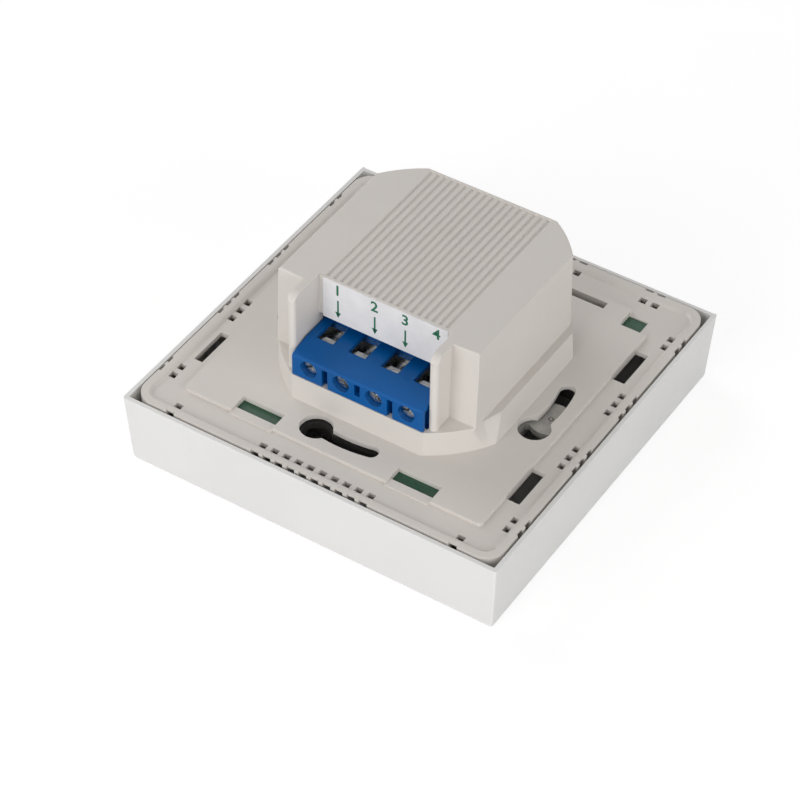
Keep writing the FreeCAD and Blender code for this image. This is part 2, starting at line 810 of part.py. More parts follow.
def rear_housing():
    """Moulded rear housing: lip, vented floor, platform, collar, power box, fins and skirt."""
    body = new_body("rear_housing")
    lip_half, radius = amount(LIP_HALF), mm("lip_radius")

    # plate and lip
    outline = sketch_on(body, FLOOR_UNDER)
    add_rounded(outline, lip_half, lip_half, radius)
    pad(body, outline, "%s - %s" % (LIP_TOP, FLOOR_UNDER))
    slope_top = lip_half - mm("lip_flat")
    slope_foot = slope_top - mm("lip_slope")
    foot = sketch_on(body, "floor_top")
    add_rounded(foot, slope_foot, slope_foot, radius - mm("lip_flat") - mm("lip_slope"))
    brim = sketch_on(body, LIP_TOP)
    add_rounded(brim, slope_top, slope_top, radius - mm("lip_flat"))
    loft(body, "SubtractiveLoft", foot, brim)

    # skirt that stands inside the cover
    ring = sketch_on(body, SKIRT_END)
    add_rounded(ring, lip_half, lip_half, radius)
    inner = lip_half - mm("skirt_wall")
    add_rounded(ring, inner, inner, radius - mm("skirt_wall"))
    pad(body, ring, "skirt_drop")

    # platform, hollow from the front
    raised = sketch_on(body, BOARD_TOP)
    platform_outline(raised, 0)
    pad(body, raised, "platform_wall")
    under = sketch_on(body, FLOOR_UNDER)
    platform_outline(under, mm("platform_wall"))
    pocket(body, under, "%s - %s" % (BOARD_TOP, FLOOR_UNDER), upward=True)

    # collar: at the foot its shoulders lie on the round, at the deck they follow the box's sides
    low = sketch_on(body, PLATFORM_TOP)
    box_radius, half = amount(BOX_RADIUS), amount(COLLAR_HALF)
    radius, back_radius = box_radius + mm("collar_round"), box_radius + mm("collar_back_round")
    side, corner = mm("box_half") + mm("collar_side_reach"), mm("box_half") + mm("collar_shoulder")
    first, last = (corner, -leg_of(radius, corner)), (side, -leg_of(radius, side))
    shoulder = (first, bulge(radius, first, last), last)
    collar_outline(low, radius, back_radius, half, shoulder, side)
    high = sketch_on(body, "deck_top")
    radius, back_radius = amount(DECK_RADIUS), box_radius + mm("deck_back_round")
    side, beside = mm("box_half") + mm("ledge_width"), mm("box_half") + mm("box_side_draft")
    shoulder = ((beside, -leg_of(radius, beside)), (beside, -mm("ledge_start")), (side, -mm("ledge_full")))
    collar_outline(high, radius, back_radius, half - mm("collar_draft"), shoulder, side)
    loft(body, "AdditiveLoft", low, high)

    # power box with draft on its sides, its round back and its wings
    base = sketch_on(body, "deck_top")
    wide, wing = mm("box_half") + mm("box_side_draft"), mm("box_wing") + mm("box_wing_draft")
    power_box_outline(base, box_radius + mm("box_round_draft"), wide, wing)
    crown = sketch_on(body, "box_top")
    power_box_outline(crown, box_radius, mm("box_half"), mm("box_wing"))
    loft(body, "AdditiveLoft", base, crown)

    # hollow of the collar and of the box, then the way in for the terminal block
    wall = mm("box_wall") + mm("box_side_draft")
    room = sketch_on(body, FLOOR_UNDER)
    flattened_circle(room, amount(DECK_RADIUS) - wall, amount(ROOM_SIDE), half - wall)
    pocket(body, room, "deck_top - box_wall - %s" % FLOOR_UNDER, upward=True)
    hollow = sketch_on(body, "deck_top - box_wall")
    power_box_cavity(hollow)
    pocket(body, hollow, "box_top - deck_top", upward=True)
    way_in = sketch_on(body, "deck_top - box_wall")
    reach = ("-(%s - box_wall - box_side_draft)" % COLLAR_HALF, "-(label_wall - box_wall)")
    add_rectangle(way_in, ("-fin_inside", "fin_inside"), reach)
    pocket(body, way_in, "terminal_gap_top - deck_top + box_wall", upward=True)

    # rounded upper corners of the fins
    corner = sketch_on(body, "-(box_half + 1)", "YZ_Plane")
    tip, top, bend = -mm("fin_front"), mm("box_top"), mm("fin_top_round")
    inset = bend * (1 - math.sqrt(0.5))
    steps = [(tip - 1, top - bend), (tip, top - bend), ((tip + inset, top - inset), (tip + bend, top))]
    add_path(corner, (tip - 1, top + 1), steps + [(tip + bend, top + 1)])
    pocket(body, corner, "2 * (box_half + 1)", upward=True)
    return body


def rear_housing_windows(body):
    """Hook windows in the platform's edges and in the floor."""
    # two at the front, each in a notch of the platform with a sill before it
    far = "(%s + sill_proud)" % PLATFORM_HALF
    inner = "(%s - hook_depth)" % PLATFORM_HALF
    sill_back = "(%s - hook_sill)" % PLATFORM_HALF
    above = "%s + %s" % (PLATFORM_TOP, OVERLAP)
    step, sill, front = sketch_on(body, above), sketch_on(body, FLOOR_UNDER), sketch_on(body, above)
    for middle in ("-hook_middle", "hook_middle"):
        across_side(step, "front", middle, "hook_length", inner, far)
        across_side(sill, "front", middle, "hook_length", sill_back, far)
        across_side(front, "front", middle, "hook_length", inner, sill_back)
    pocket(body, step, "platform_rise - sill_rise + %s" % OVERLAP)
    pad(body, sill, "floor_top + sill_rise - %s" % FLOOR_UNDER)
    pocket(body, front, "platform_wall + plate_wall")

    # those of the other sides and of the stepped corner
    others = sketch_on(body, above)
    edge, reach = "%s - %s" % (PLATFORM_HALF, OVERLAP), "%s + right_window_reach" % PLATFORM_HALF
    for middle in ("-hook_middle - 2.1", "hook_middle + 1.8"):
        across_side(others, "right", middle, "hook_length", edge, reach)
    near, far = "%s + left_window_near" % PLATFORM_HALF, "%s + left_window_far" % PLATFORM_HALF
    for middle in ("-hook_middle - 3", "hook_middle + 3"):
        across_side(others, "left", middle, "hook_length - 0.4", near, far)
    near, far = "%s - back_window_near" % PLATFORM_HALF, "%s - back_window_far" % PLATFORM_HALF
    for middle in ("-hook_middle", "hook_middle"):
        across_side(others, "back", middle, "hook_length", near, far)
    corner_x = ("%s - 0.2" % STEP_X, "%s + corner_window_x" % STEP_X)
    add_rectangle(others, corner_x, ("%s + 0.8" % STEP_Y, "%s + 0.8 + corner_window_y" % STEP_Y))
    pocket(body, others, "platform_wall + plate_wall + 2 * %s" % OVERLAP)


def rear_housing_fixings(body):
    """Bosses for the carrier, posts and pegs for the power board, and the keyholes."""
    bosses, pilots = sketch_on(body, CARRIER_TOP), sketch_on(body, CARRIER_TOP)
    for x, y in FIXINGS:
        add_circle(bosses, x, y, "boss_radius")
        add_circle(pilots, x, y, "screw_radius + pilot_clearance")
    pad(body, bosses, "%s + 2 * %s - %s" % (BOARD_TOP, OVERLAP, CARRIER_TOP))
    pocket(body, pilots, "fixing_bore", upward=True)

    posts, pegs, bores = (sketch_on(body, POWER_TOP) for _ in range(3))
    for x, y in POWER_POSTS:
        add_circle(posts, x, y, "boss_radius")
        add_circle(bores, x, y, "screw_radius + pilot_clearance")
    for x in ("-(fin_inside + peg_beside_fin)", "fin_inside + peg_beside_fin"):
        add_circle(pegs, x, "-(label_wall + peg_before_label)", "peg_radius")
    pad(body, posts, "box_top - box_wall / 2 - %s" % POWER_TOP)
    pad(body, pegs, "deck_top - box_wall / 2 - %s" % POWER_TOP)
    pocket(body, bores, "post_bore", upward=True)

    holes = sketch_on(body, "%s + %s" % (PLATFORM_TOP, OVERLAP))
    keyhole_outline(holes, mm("keyhole_head") / 2, mm("keyhole_slot"))
    ring_pattern(body, [pocket(body, holes, "platform_wall + 2 * %s" % OVERLAP)], 4)


def rear_housing_grooves(body):
    """Shallow grooves over the box, closed just before its front and back edges."""
    groove = sketch_on(body, "label_wall - groove_margin", "XZ_Plane")
    top, floor = mm("box_top") + 0.1, mm("box_top") - mm("groove_depth")
    wide, left = mm("groove_width") / 2, -mm("groove_pitch") * (mm("groove_count") - 1) / 2
    steps = [(left - wide / 2, floor), (left + wide / 2, floor), (left + wide, top)]
    add_path(groove, (left - wide, top), steps)
    first = pocket(body, groove, "label_wall + box_back - 2 * groove_margin")
    rows = body.newObject("PartDesign::LinearPattern", "Grooves")
    rows.Originals = [first]
    rows.Direction = (datum(body, "X_Axis"), [""])
    bind(rows, "Length", "groove_pitch * (groove_count - 1)")
    bind(rows, "Occurrences", "groove_count")
    body.Tip = rows
    doc.recompute()


def rear_housing_vents(body):
    """Square vents in the floor, and beside each a notch through the lip with a bite in its edge."""
    vents = sketch_on(body, "floor_top + %s" % OVERLAP)
    bites = sketch_on(body, LIP_TOP)
    notches = sketch_on(body, "%s - notch_bite_height" % LIP_TOP)
    outside = "%s + 1" % LIP_HALF
    for side, along in vent_places():
        small_hole(vents, side, along, "vent_side", *about(VENT_LINE, "vent_side / 2"))
        small_hole(bites, side, along, "notch_width", "%s - notch_bite" % LIP_HALF, outside)
        small_hole(notches, side, along, "notch_width", "%s - notch_reach" % LIP_HALF, outside)
    pocket(body, vents, "plate_wall + 2 * %s" % OVERLAP)
    pocket(body, bites, "notch_bite_height")
    pocket(body, notches, "notch_height")


def front_cover():
    """Square front cover with drafted walls, seat ribs for the housing and a slot for the light window."""
    body = new_body("front_cover")
    rim, face = mm("cover_side") / 2, mm("cover_side") / 2 - mm("cover_draft")
    corner, bend = mm("cover_corner"), mm("cover_edge_round")
    levels = []
    for degrees in (0, 30, 60, 90):
        turn = math.radians(degrees)
        half = face - bend * (1 - math.sin(turn))
        level = sketch_on(body, "cover_edge_round * %.6f" % (1 - math.cos(turn)))
        add_rounded(level, half, half, corner)
        levels.append(level)
    high = sketch_on(body, "cover_height")
    add_rounded(high, rim, rim, corner)
    for low, top in zip(levels, levels[1:] + [high]):
        loft(body, "AdditiveLoft", low, top)
    inside, corner = rim - mm("cover_rim_wall"), mm("cover_inner_corner")
    bottom = sketch_on(body, "cover_face")
    add_rounded(bottom, inside - mm("cover_draft"), inside - mm("cover_draft"), corner)
    mouth = sketch_on(body, "cover_height")
    add_rounded(mouth, inside, inside, corner)
    loft(body, "SubtractiveLoft", bottom, mouth)

    # ribs that the skirt of the housing rests on, and ribs that centre it
    ribs = sketch_on(body, "cover_face - 2 * %s" % OVERLAP)
    guides = sketch_on(body, "%s - guide_lead" % SKIRT_END)
    wall = "(cover_side / 2 - cover_rim_wall)"
    seat_near, seat_far = "%s - rib_reach" % LIP_HALF, "%s - 2 * %s" % (wall, OVERLAP)
    guide_near, guide_far = "%s + guide_clearance" % LIP_HALF, "%s + 2 * %s" % (wall, OVERLAP)
    for side in ("front", "right", "back", "left"):
        for k in range(-2, 3):
            across_side(ribs, side, "%d * rib_pitch" % k, "rib_width", seat_near, seat_far)
        for along in ("-guide_place", "guide_place"):
            across_side(guides, side, along, "rib_width * 2", guide_near, guide_far)
    pad(body, ribs, "%s - cover_face + 2 * %s" % (SKIRT_END, OVERLAP))
    pad(body, guides, "guide_height")

    # stepped slot for the light window
    flange = sketch_on(body, "cover_face")
    long_half, short_half = "window_length / 2", "window_width / 2"
    add_long_hole(flange, long_half + " + window_flange", short_half + " + window_flange", "-light_line")
    pocket(body, flange, "cover_face / 2")
    slot = sketch_on(body, "cover_face")
    add_long_hole(slot, long_half, short_half, "-light_line")
    pocket(body, slot, "cover_face + 2 * %s" % OVERLAP)
    return body


def light_window():
    """Translucent stepped insert of the cover, over the light sensor and the lamp."""
    body = new_body("light_window")
    long_half, short_half = "window_length / 2 - window_clearance", "window_width / 2 - window_clearance"
    stem = sketch_on(body, "window_clearance")
    add_long_hole(stem, long_half, short_half, "-light_line")
    pad(body, stem, "cover_face - window_clearance")
    brim = sketch_on(body, "cover_face / 2")
    add_long_hole(brim, long_half + " + window_flange", short_half + " + window_flange", "-light_line")
    pad(body, brim, "cover_face / 2")
    return body


def carrier_frame():
    """Inner frame under the sensor board, with a pad behind each keyhole."""
    body = new_body("carrier_frame")
    half = amount("%s - platform_wall - carrier_inset" % PLATFORM_HALF)
    corner = mm("carrier_corner")
    plate = sketch_on(body, CARRIER_UNDER)
    add_rounded(plate, half, half, corner)
    pad(body, plate, "carrier_plate")
    ring = sketch_on(body, CARRIER_TOP)
    add_rounded(ring, half, half, corner)
    inner = half - mm("carrier_rib")
    add_rounded(ring, inner, inner, corner - mm("carrier_rib"))
    pad(body, ring, "carrier_gap")

    # raised pads behind the keyholes, hollow from the front
    outer = "(%s - platform_wall - %s)" % (PLATFORM_HALF, OVERLAP)
    tall = sketch_on(body, CARRIER_UNDER)
    add_rectangle(tall, ("-pad_left", "pad_right"), ("-%s" % outer, "-pad_inner"))
    raised = pad(body, tall, "%s - %s" % (PAD_TOP, CARRIER_UNDER))
    ring_pattern(body, [raised], 4)
    room = sketch_on(body, CARRIER_UNDER)
    hollow = ("-(%s - pad_wall)" % outer, "-pad_inner - pad_wall")
    add_rectangle(room, ("-pad_left + pad_wall", "pad_right - pad_wall"), hollow)
    under = pocket(body, room, "%s - pad_skin - %s" % (PAD_TOP, CARRIER_UNDER), upward=True)
    ring_pattern(body, [under], 4)

    # a keyhole through three of the pads
    holes = sketch_on(body, BOARD_TOP)
    keyhole_outline(holes, mm("keyhole_head") / 2 - 0.3, mm("keyhole_slot"))
    through = pocket(body, holes, "pad_drop + pad_skin + 0.3")
    ring_pattern(body, [through], 3, 180, True)

    # the pad on the right keeps a round disc across its hole, with a moulding mark in its middle
    x, y, radius = amount(DISC_X), mm("disc_y"), mm("disc_radius")
    left, right = mm("pad_inner") + mm("pad_wall"), x + mm("disc_reach")
    split = sketch_on(body, BOARD_TOP)
    ends = (-mm("pad_left") + mm("pad_wall") + 0.1, mm("pad_right") - mm("pad_wall") - 0.1)
    for sign, end in zip((-1, 1), ends):
        near_left = (left + 0.9, y + sign * leg_of(radius, x - left - 0.9))
        near_right = (right, y + sign * leg_of(radius, right - x))
        arc = ((x, y + sign * radius), near_left)
        steps = [(right, end), near_right, arc, (left, y + sign * radius * 0.9)]
        add_path(split, (left, end), steps)
    pocket(body, split, "pad_drop + pad_skin + 0.3")
    mark = sketch_on(body, PAD_TOP)
    add_plain_circle(mark, x, y, mm("disc_mark"))
    add_plain_circle(mark, x, y, mm("disc_mark") / 2)
    pocket(body, mark, "pad_skin / 3")

    # openings for the radar module, the adjusters, the light sensor and the lamp
    openings = sketch_on(body, CARRIER_TOP)
    add_rectangle(openings, about("0", "module_half_x + 1"), about("module_y", "module_half_y + 1"))
    reach = "adjuster_side / 2 + 0.5"
    for x in ADJUSTER_X:
        add_rectangle(openings, about(x, reach), about("adjuster_line", reach))
    pocket(body, openings, "carrier_plate + %s" % OVERLAP)
    screws = sketch_on(body, CARRIER_TOP)
    for x, y in FIXINGS:
        add_circle(screws, x, y, "screw_radius + pass_clearance")
    for x in ("-light_pitch / 2", "light_pitch / 2"):
        add_circle(screws, x, "-light_line", "lens_hole")
    pocket(body, screws, "carrier_plate + %s" % OVERLAP)
    return body


def row_of_pins(count, middle="0"):
    """Places along X of a row of pins."""
    return ["%s + %g * pin_pitch" % (middle, k - (count - 1) / 2) for k in range(count)]


def add_pin_holes(sketch, places, y):
    """Holes of one row of pins."""
    for x in places:
        add_circle(sketch, x, y, "pin_radius + %s" % OVERLAP)


def sensor_board():
    """Sensor board with a notch for each keyhole pad and a tab in the corner window."""
    body = new_body("sensor_board")
    outline = sketch_on(body, BOARD_UNDER)
    half = amount("%s - platform_wall - board_clearance" % PLATFORM_HALF)
    back, inner, c = half - mm("board_back_inset") + 0.2, mm("pad_inner") - 0.5, mm("board_corner")
    left, right = mm("pad_left") + 0.5, mm("pad_right") + 0.5
    step_x, step_y = amount(STEP_X), amount(STEP_Y)
    root, foot = mm("tab_root"), step_y + mm("tab_foot")
    tab_x, tab_y = step_x + mm("tab_reach"), step_y + mm("tab_reach")
    steps = [(-left, -half), (-left, -inner), (right, -inner), (right, -half), (half - c, -half)]
    steps += [(half, -half + c), (half, -left), (inner, -left), (inner, right), (half, right)]
    steps += [(half, foot - root), (step_x - 1.4, foot - root), (step_x - 1.4, foot), (tab_x, foot)]
    steps += [(tab_x, tab_y), (step_x - root, tab_y), (step_x - root, back), (left, back), (left, inner)]
    steps += [(-right, inner), (-right, back), (-half + c, back), (-half, back - c), (-half, left)]
    steps += [(-inner, left), (-inner, -right), (-half, -right), (-half, -half + c)]
    add_path(outline, (-half + c, -half), steps)
    pad(body, outline, "board_thickness")
    holes = sketch_on(body, BOARD_TOP)
    for x, y in FIXINGS:
        add_circle(holes, x, y, "boss_radius + board_clearance")
    add_pin_holes(holes, row_of_pins(HEADER_PINS, HEADER_X), HEADER_Y)
    add_pin_holes(holes, row_of_pins(MODULE_PINS), "module_pin_y")
    pocket(body, holes, "board_thickness + %s" % OVERLAP)
    return body


def pole_x(k):
    """Middle of one pole of the terminal block."""
    return "(pole_pitch * (%d - (pole_count - 1) / 2))" % k


def pole_range():
    """Numbers of the poles, from the left."""
    return range(int(mm("pole_count")))


def contact_pin_holes(sketch):
    """Holes for the pins of the contacts."""
    along = about("-contact_front + contact_pin_thickness / 2", "contact_pin_thickness / 2 + %s" % OVERLAP)
    for k in pole_range():
        add_rectangle(sketch, about(pole_x(k), "contact_pin_width / 2 + 2 * %s" % OVERLAP), along)


def power_board():
    """Round mains board inside the collar, with the holes for its screws, terminals and header."""
    body = new_body("power_board")
    outline = sketch_on(body, POWER_UNDER)
    gap = mm("box_wall") + mm("box_side_draft") + mm("board_clearance")
    side = amount("%s - board_clearance" % ROOM_SIDE)
    flattened_circle(outline, amount(DECK_RADIUS) - gap, side, amount(COLLAR_HALF) - gap)
    pad(body, outline, "board_thickness")
    holes = sketch_on(body, POWER_TOP)
    for x, y in POWER_POSTS:
        add_circle(holes, x, y, "screw_radius + pass_clearance")
    add_pin_holes(holes, row_of_pins(HEADER_PINS, HEADER_X), HEADER_Y)
    contact_pin_holes(holes)
    pocket(body, holes, "board_thickness + %s" % OVERLAP)
    return body


def terminal_block_body():
    """Terminal block: sloped front, four screw wells, four wire entries and the chambers between them."""
    body = new_body("terminal_block_body")
    profile = sketch_on(body, "-%s" % BLOCK_HALF, "YZ_Plane")
    low, step = amount(POWER_TOP), mm("deck_top") + mm("block_clearance")
    front, top, edge, lip = -mm("block_front"), mm("block_top"), mm("block_edge"), mm("block_lip")
    steps = [(-mm("block_back"), top), (-mm("block_ridge"), top), (front + edge, lip + edge / 2)]
    steps += [(front, lip - edge / 2), (front, step), (front + mm("block_step"), step)]
    add_path(profile, (-mm("block_back"), low), steps + [(front + mm("block_step"), low)])
    pad(body, profile, "2 * %s" % BLOCK_HALF)

    # chambers with their wire entries above, their pin holes below and the screw wells before them
    chambers = sketch_on(body, "%s + chamber_floor" % POWER_TOP)
    entries = sketch_on(body, "chamber_top - %s" % OVERLAP)
    feet = sketch_on(body, POWER_TOP)
    wells = sketch_on(body, "block_front + 0.5", "XZ_Plane")
    shanks = sketch_on(body, "well_floor + 0.5", "XZ_Plane")
    for k in pole_range():
        x = pole_x(k)
        add_rectangle(chambers, about(x, "chamber_width / 2"), ("-chamber_front", "-chamber_back"))
        add_rectangle(entries, about(x, "wire_hole_width / 2"), ("-wire_hole_front", "-chamber_back"))
        add_circle(wells, x, "clamp_screw_height", "well_radius")
        add_circle(shanks, x, "clamp_screw_height", "clamp_screw_radius + %s" % OVERLAP)
    contact_pin_holes(feet)
    pocket(body, chambers, "chamber_top - %s - chamber_floor" % POWER_TOP, upward=True)
    pocket(body, entries, "block_top - chamber_top + 0.3", upward=True)
    pocket(body, feet, "chamber_floor + 2 * %s" % OVERLAP, upward=True)
    pocket(body, wells, "block_front - well_floor + 0.5")
    pocket(body, shanks, "well_floor - chamber_front + 1")

    # slits between the poles and the key at one end
    slits = sketch_on(body, "block_front + 0.5", "XZ_Plane")
    for k in list(pole_range())[:-1]:
        x = "(pole_pitch * (%d - (pole_count - 2) / 2))" % k
        low_end = "deck_top + slit_middle_rise" if k == 1 else "deck_top - 0.5"
        add_rectangle(slits, about(x, "slit_width / 2"), (low_end, "slit_top"))
    pocket(body, slits, "slit_depth + 0.5")
    key = sketch_on(body, "deck_top - 0.5")
    ends = ("%s - key_width" % BLOCK_HALF, "%s + %s" % (BLOCK_HALF, OVERLAP))
    add_rectangle(key, ends, ("-block_front + key_near", "-block_front + key_far"))
    pocket(body, key, "block_lip - deck_top", upward=True)
    return body


def terminal_contacts():
    """Contact of each pole: a plate that the screw passes through, with a tongue above and a pin below."""
    strips = []
    back = "-contact_front + contact_thickness"
    foot = "%s + chamber_floor" % POWER_TOP
    for k in pole_range():
        x = pole_x(k)
        plate = block(about(x, "contact_width / 2"), ("-contact_front", back), (foot, "contact_shoulder"))
        tongue_top = "chamber_top - cage_headroom"
        tongue = block(about(x, "tongue_width / 2"), ("-contact_front", back), (foot, tongue_top))
        thin = ("-contact_front", "-contact_front + contact_pin_thickness")
        pin = block(about(x, "contact_pin_width / 2"), thin, ("%s - contact_pin_end" % POWER_UNDER, foot))
        bore_radius = "clamp_screw_radius + %s" % OVERLAP
        start = (x, "-contact_front - 1", "clamp_screw_height")
        bore = level_rod(start, "contact_thickness + 2", bore_radius, "y")
        strips.append(cut(fuse([plate, tongue, pin]), [bore]))
    return group(strips, "terminal_contacts")


def clamp_cage(k):
    """Saddle clamp of one pole: a threaded back plate with two side walls that reach round the contact."""
    x = pole_x(k)
    low = "(chamber_top - cage_headroom - cage_height)"
    tall = (low, "%s + cage_height" % low)
    shell = block(about(x, "cage_width / 2"), ("-cage_back - cage_length", "-cage_back"), tall)
    inner = about(x, "cage_width / 2 - cage_side_wall")
    along = ("-cage_back - cage_length - 1", "-cage_back - cage_plate")
    room = block(inner, along, (tall[0] + " - 1", tall[1] + " + 1"))
    start = (x, "-cage_back - cage_plate - 1", "clamp_screw_height")
    bore = level_rod(start, "cage_plate + 2", "clamp_screw_radius + cage_clearance", "y")
    cage = cut(round_edges(shell, "cage_corner", upright), [room, bore])
    return finished(cage, "clamp_cage_%d" % (k + 1))


def terminal_screw(k):
    """Slotted clamp screw of one pole, drawn from its tip upwards and then laid along -Y."""
    body = new_body("terminal_screw_%d" % (k + 1))
    radius, head = mm("clamp_screw_radius"), mm("clamp_head_radius")
    length = mm("well_floor") - mm("chamber_back") - mm("tip_gap")
    end = length + mm("clamp_head_height")
    points = [(0, 0), (radius - 0.4, 0), (radius, 0.4), (radius, length)]
    spun(body, points + [(head, length), (head, end - 0.3), (head - 0.3, end), (0, end)])
    slot = sketch_on(body, "well_floor - chamber_back - tip_gap + clamp_head_height")
    add_rectangle(slot, about("0", "clamp_slot_width / 2"), about("0", "clamp_head_radius + 0.5"))
    pocket(body, slot, "clamp_slot_depth")
    body.Placement = Placement(Vector(0, 0, 0), Rotation(Vector(1, 0, 0), 90))
    put_at(body, pole_x(k), "-chamber_back - tip_gap", "clamp_screw_height")
    return body


def terminal_label():
    """Paper label on the wall behind the terminals."""
    across = about("0", "fin_inside - label_side_gap")
    thick = ("-label_wall - label_thickness", "-label_wall")
    paper = block(across, thick, ("terminal_gap_top", "box_top - label_top_gap"))
    return finished(paper, "terminal_label")


def self_tapping_screw(x, y, seat, length):
    """Pan-head screw that points up, with its head under the seat."""
    shank = rod(x, y, ("%s - %s" % (seat, OVERLAP), "%s + %s" % (seat, length)), "screw_radius")
    under = "%s - screw_head_height" % seat
    head = rod(x, y, (under, seat), "screw_head_radius")
    dome = round_edges(head, "screw_head_height * 0.45", at_height(under))
    long_pair, short_pair = "screw_head_radius * cross_share", "cross_width / 2"
    deep = (under + " - 0.5", under + " + cross_depth")
    bars = [block(about(x, long_pair), about(y, short_pair), deep)]
    bars.append(block(about(x, short_pair), about(y, long_pair), deep))
    return cut(fuse([dome, shank]), bars)


def fixings():
    """Screws of the carrier and of the power board."""
    group([self_tapping_screw(x, y, CARRIER_UNDER, "fixing_length") for x, y in FIXINGS], "carrier_screws")
    group([self_tapping_screw(x, y, POWER_UNDER, "post_bore") for x, y in POWER_POSTS], "power_board_screws")


def relay():
    """Sealed relay: a moulded case on a smaller foot."""
    x0, x1, top = bay("relay_from"), bay("relay_to"), "%s + relay_height" % POWER_TOP
    case = block((x0, x1), ("-relay_front", "relay_back"), ("%s + part_lift" % POWER_TOP, top))
    case = round_edges(case, "relay_corner", box_edges(top))
    across = ("%s + relay_foot" % x0, "%s - relay_foot" % x1)
    along = ("-relay_front + relay_foot", "relay_back - relay_foot")
    foot = block(across, along, (POWER_TOP, "%s + part_lift + %s" % (POWER_TOP, OVERLAP)))
    return finished(fuse([case, foot]), "relay")


def suppression_capacitor():
    """Boxed film capacitor across the mains."""
    top = "%s + film_height" % POWER_TOP
    case = block(about("0", bay("film_half")), ("film_front", "film_back"), (POWER_TOP, top))
    return finished(round_edges(case, "film_corner", box_edges(top)), "suppression_capacitor")


def can_capacitor(name, radius_share, line, height_name):
    """Round capacitor can with a rolled groove near its foot."""
    body = new_body(name)
    radius, height = amount(bay(radius_share)), mm(height_name)
    waist, rolled = 0.12 * radius, 1.8
    points = [(0, 0), (radius - 0.3, 0), (radius, 0.3), (radius, rolled - waist), (radius - waist, rolled)]
    points += [(radius, rolled + waist), (radius, height - 0.5), (radius - 0.5, height), (0, height)]
    spun(body, points)
    put_at(body, bay("can_place"), line, POWER_TOP)
    return body


def buck_inductor():
    """Drum inductor: a ferrite core with its winding."""
    body = new_body("buck_inductor")
    radius, height, flange = amount(bay("drum_radius")), mm("drum_height"), mm("drum_flange")
    winding = radius - mm("drum_winding")
    points = [(0, 0), (radius, 0), (radius, flange), (winding, flange + 0.2)]
    points += [(winding, height - flange - 0.2), (radius, height - flange), (radius, height), (0, height)]
    spun(body, points)
    put_at(body, bay("drum_place"), "drum_line", POWER_TOP)
    return body


def varistor():
    """Disc varistor, standing on edge on two leads."""
    x, middle = bay("varistor_place"), "%s + varistor_rise" % POWER_TOP
    disc = level_rod((x, "varistor_front", middle), "varistor_thickness", "varistor_radius", "y")
    disc = round_edges(disc, "varistor_round", closed_ring)
    centre = "varistor_front + varistor_thickness / 2"
    leads = [rod(place, centre, (POWER_TOP, middle + " - 2.6"), "lead_wire_radius")
             for place in about(x, "varistor_lead")]
    return finished(fuse([disc] + leads), "varistor")


def fuse_resistor():
    """Fusible resistor lying on the board beside the screw post."""
    height = "%s + fuse_rise" % POWER_TOP
    start, end = "(-%s + boss_radius + fuse_gap)" % POST_X, bay("fuse_to")
    barrel_length = "%s - %s - 2 * fuse_lead" % (end, start)
    barrel_start = ("%s + fuse_lead" % start, "fuse_line", height)
    barrel = level_rod(barrel_start, barrel_length, "fuse_radius", "x")
    barrel = round_edges(barrel, "fuse_round", closed_ring)
    wire_length = "%s - %s" % (end, start)
    wire = level_rod((start, "fuse_line", height), wire_length, "lead_wire_radius", "x")
    feet = [rod(x, "fuse_line", (POWER_TOP, height + " + 0.2"), "lead_wire_radius")
            for x in (start + " + %s" % OVERLAP, end + " - %s" % OVERLAP)]
    return finished(fuse([barrel, wire] + feet), "fuse_resistor")


def rectifier():
    """Bridge rectifier with its four feet."""
    x0, x1, top = bay("bridge_from"), bay("bridge_to"), "%s + bridge_height" % POWER_TOP
    case = block((x0, x1), ("bridge_front", "bridge_back"), ("%s + part_lift" % POWER_TOP, top))
    pieces = [round_edges(case, "bridge_corner", box_edges(top))]
    low = (POWER_TOP, "%s + 0.9" % POWER_TOP)
    along = ("bridge_front - bridge_foot_reach", "bridge_back + bridge_foot_reach")
    for x in (x0 + " + bridge_foot_inset", x1 + " - bridge_foot_inset"):
        pieces.append(block(about(x, "bridge_foot"), along, low))
    return finished(fuse(pieces), "rectifier")


def chip(name, place, size, seat, down):
    """Flat chip with two rows of legs, on the upper or lower side of a board."""
    (x, y), (length, width, height) = place, size
    if down:
        tall = ("%s - %g" % (seat, height), "%s - chip_lift" % seat)
        leg = ("%s - chip_leg_height" % seat, seat)
    else:
        tall = ("%s + chip_lift" % seat, "%s + %g" % (seat, height))
        leg = (seat, "%s + chip_leg_height" % seat)
    case = block(about(x, "%g" % (length / 2)), about(y, "%g" % (width / 2)), tall)
    pieces = [round_edges(case, "0.2", upright)]
    across = about(y, "%g + chip_leg_reach" % (width / 2))
    for k in range(CHIP_LEGS):
        offset = (k - (CHIP_LEGS - 1) / 2) * length / CHIP_LEGS
        pieces.append(block(about("%s + %g" % (x, offset), "chip_leg_half"), across, leg))
    return finished(fuse(pieces), name)


def pin_header(name, xs, y, pin_span, strip_span):
    """Plastic strip with a row of pins through it, as separate solids."""
    ends = ("%s - strip_half" % xs[0], "%s + strip_half" % xs[-1])
    strip = block(ends, about(y, "strip_half"), strip_span)
    clear = (strip_span[0] + " - 1", strip_span[1] + " + 1")
    holes = [rod(x, y, clear, "pin_radius + pin_clearance") for x in xs]
    pins = [rod(x, y, pin_span, "pin_radius") for x in xs]
    return group([cut(strip, holes)] + pins, name)


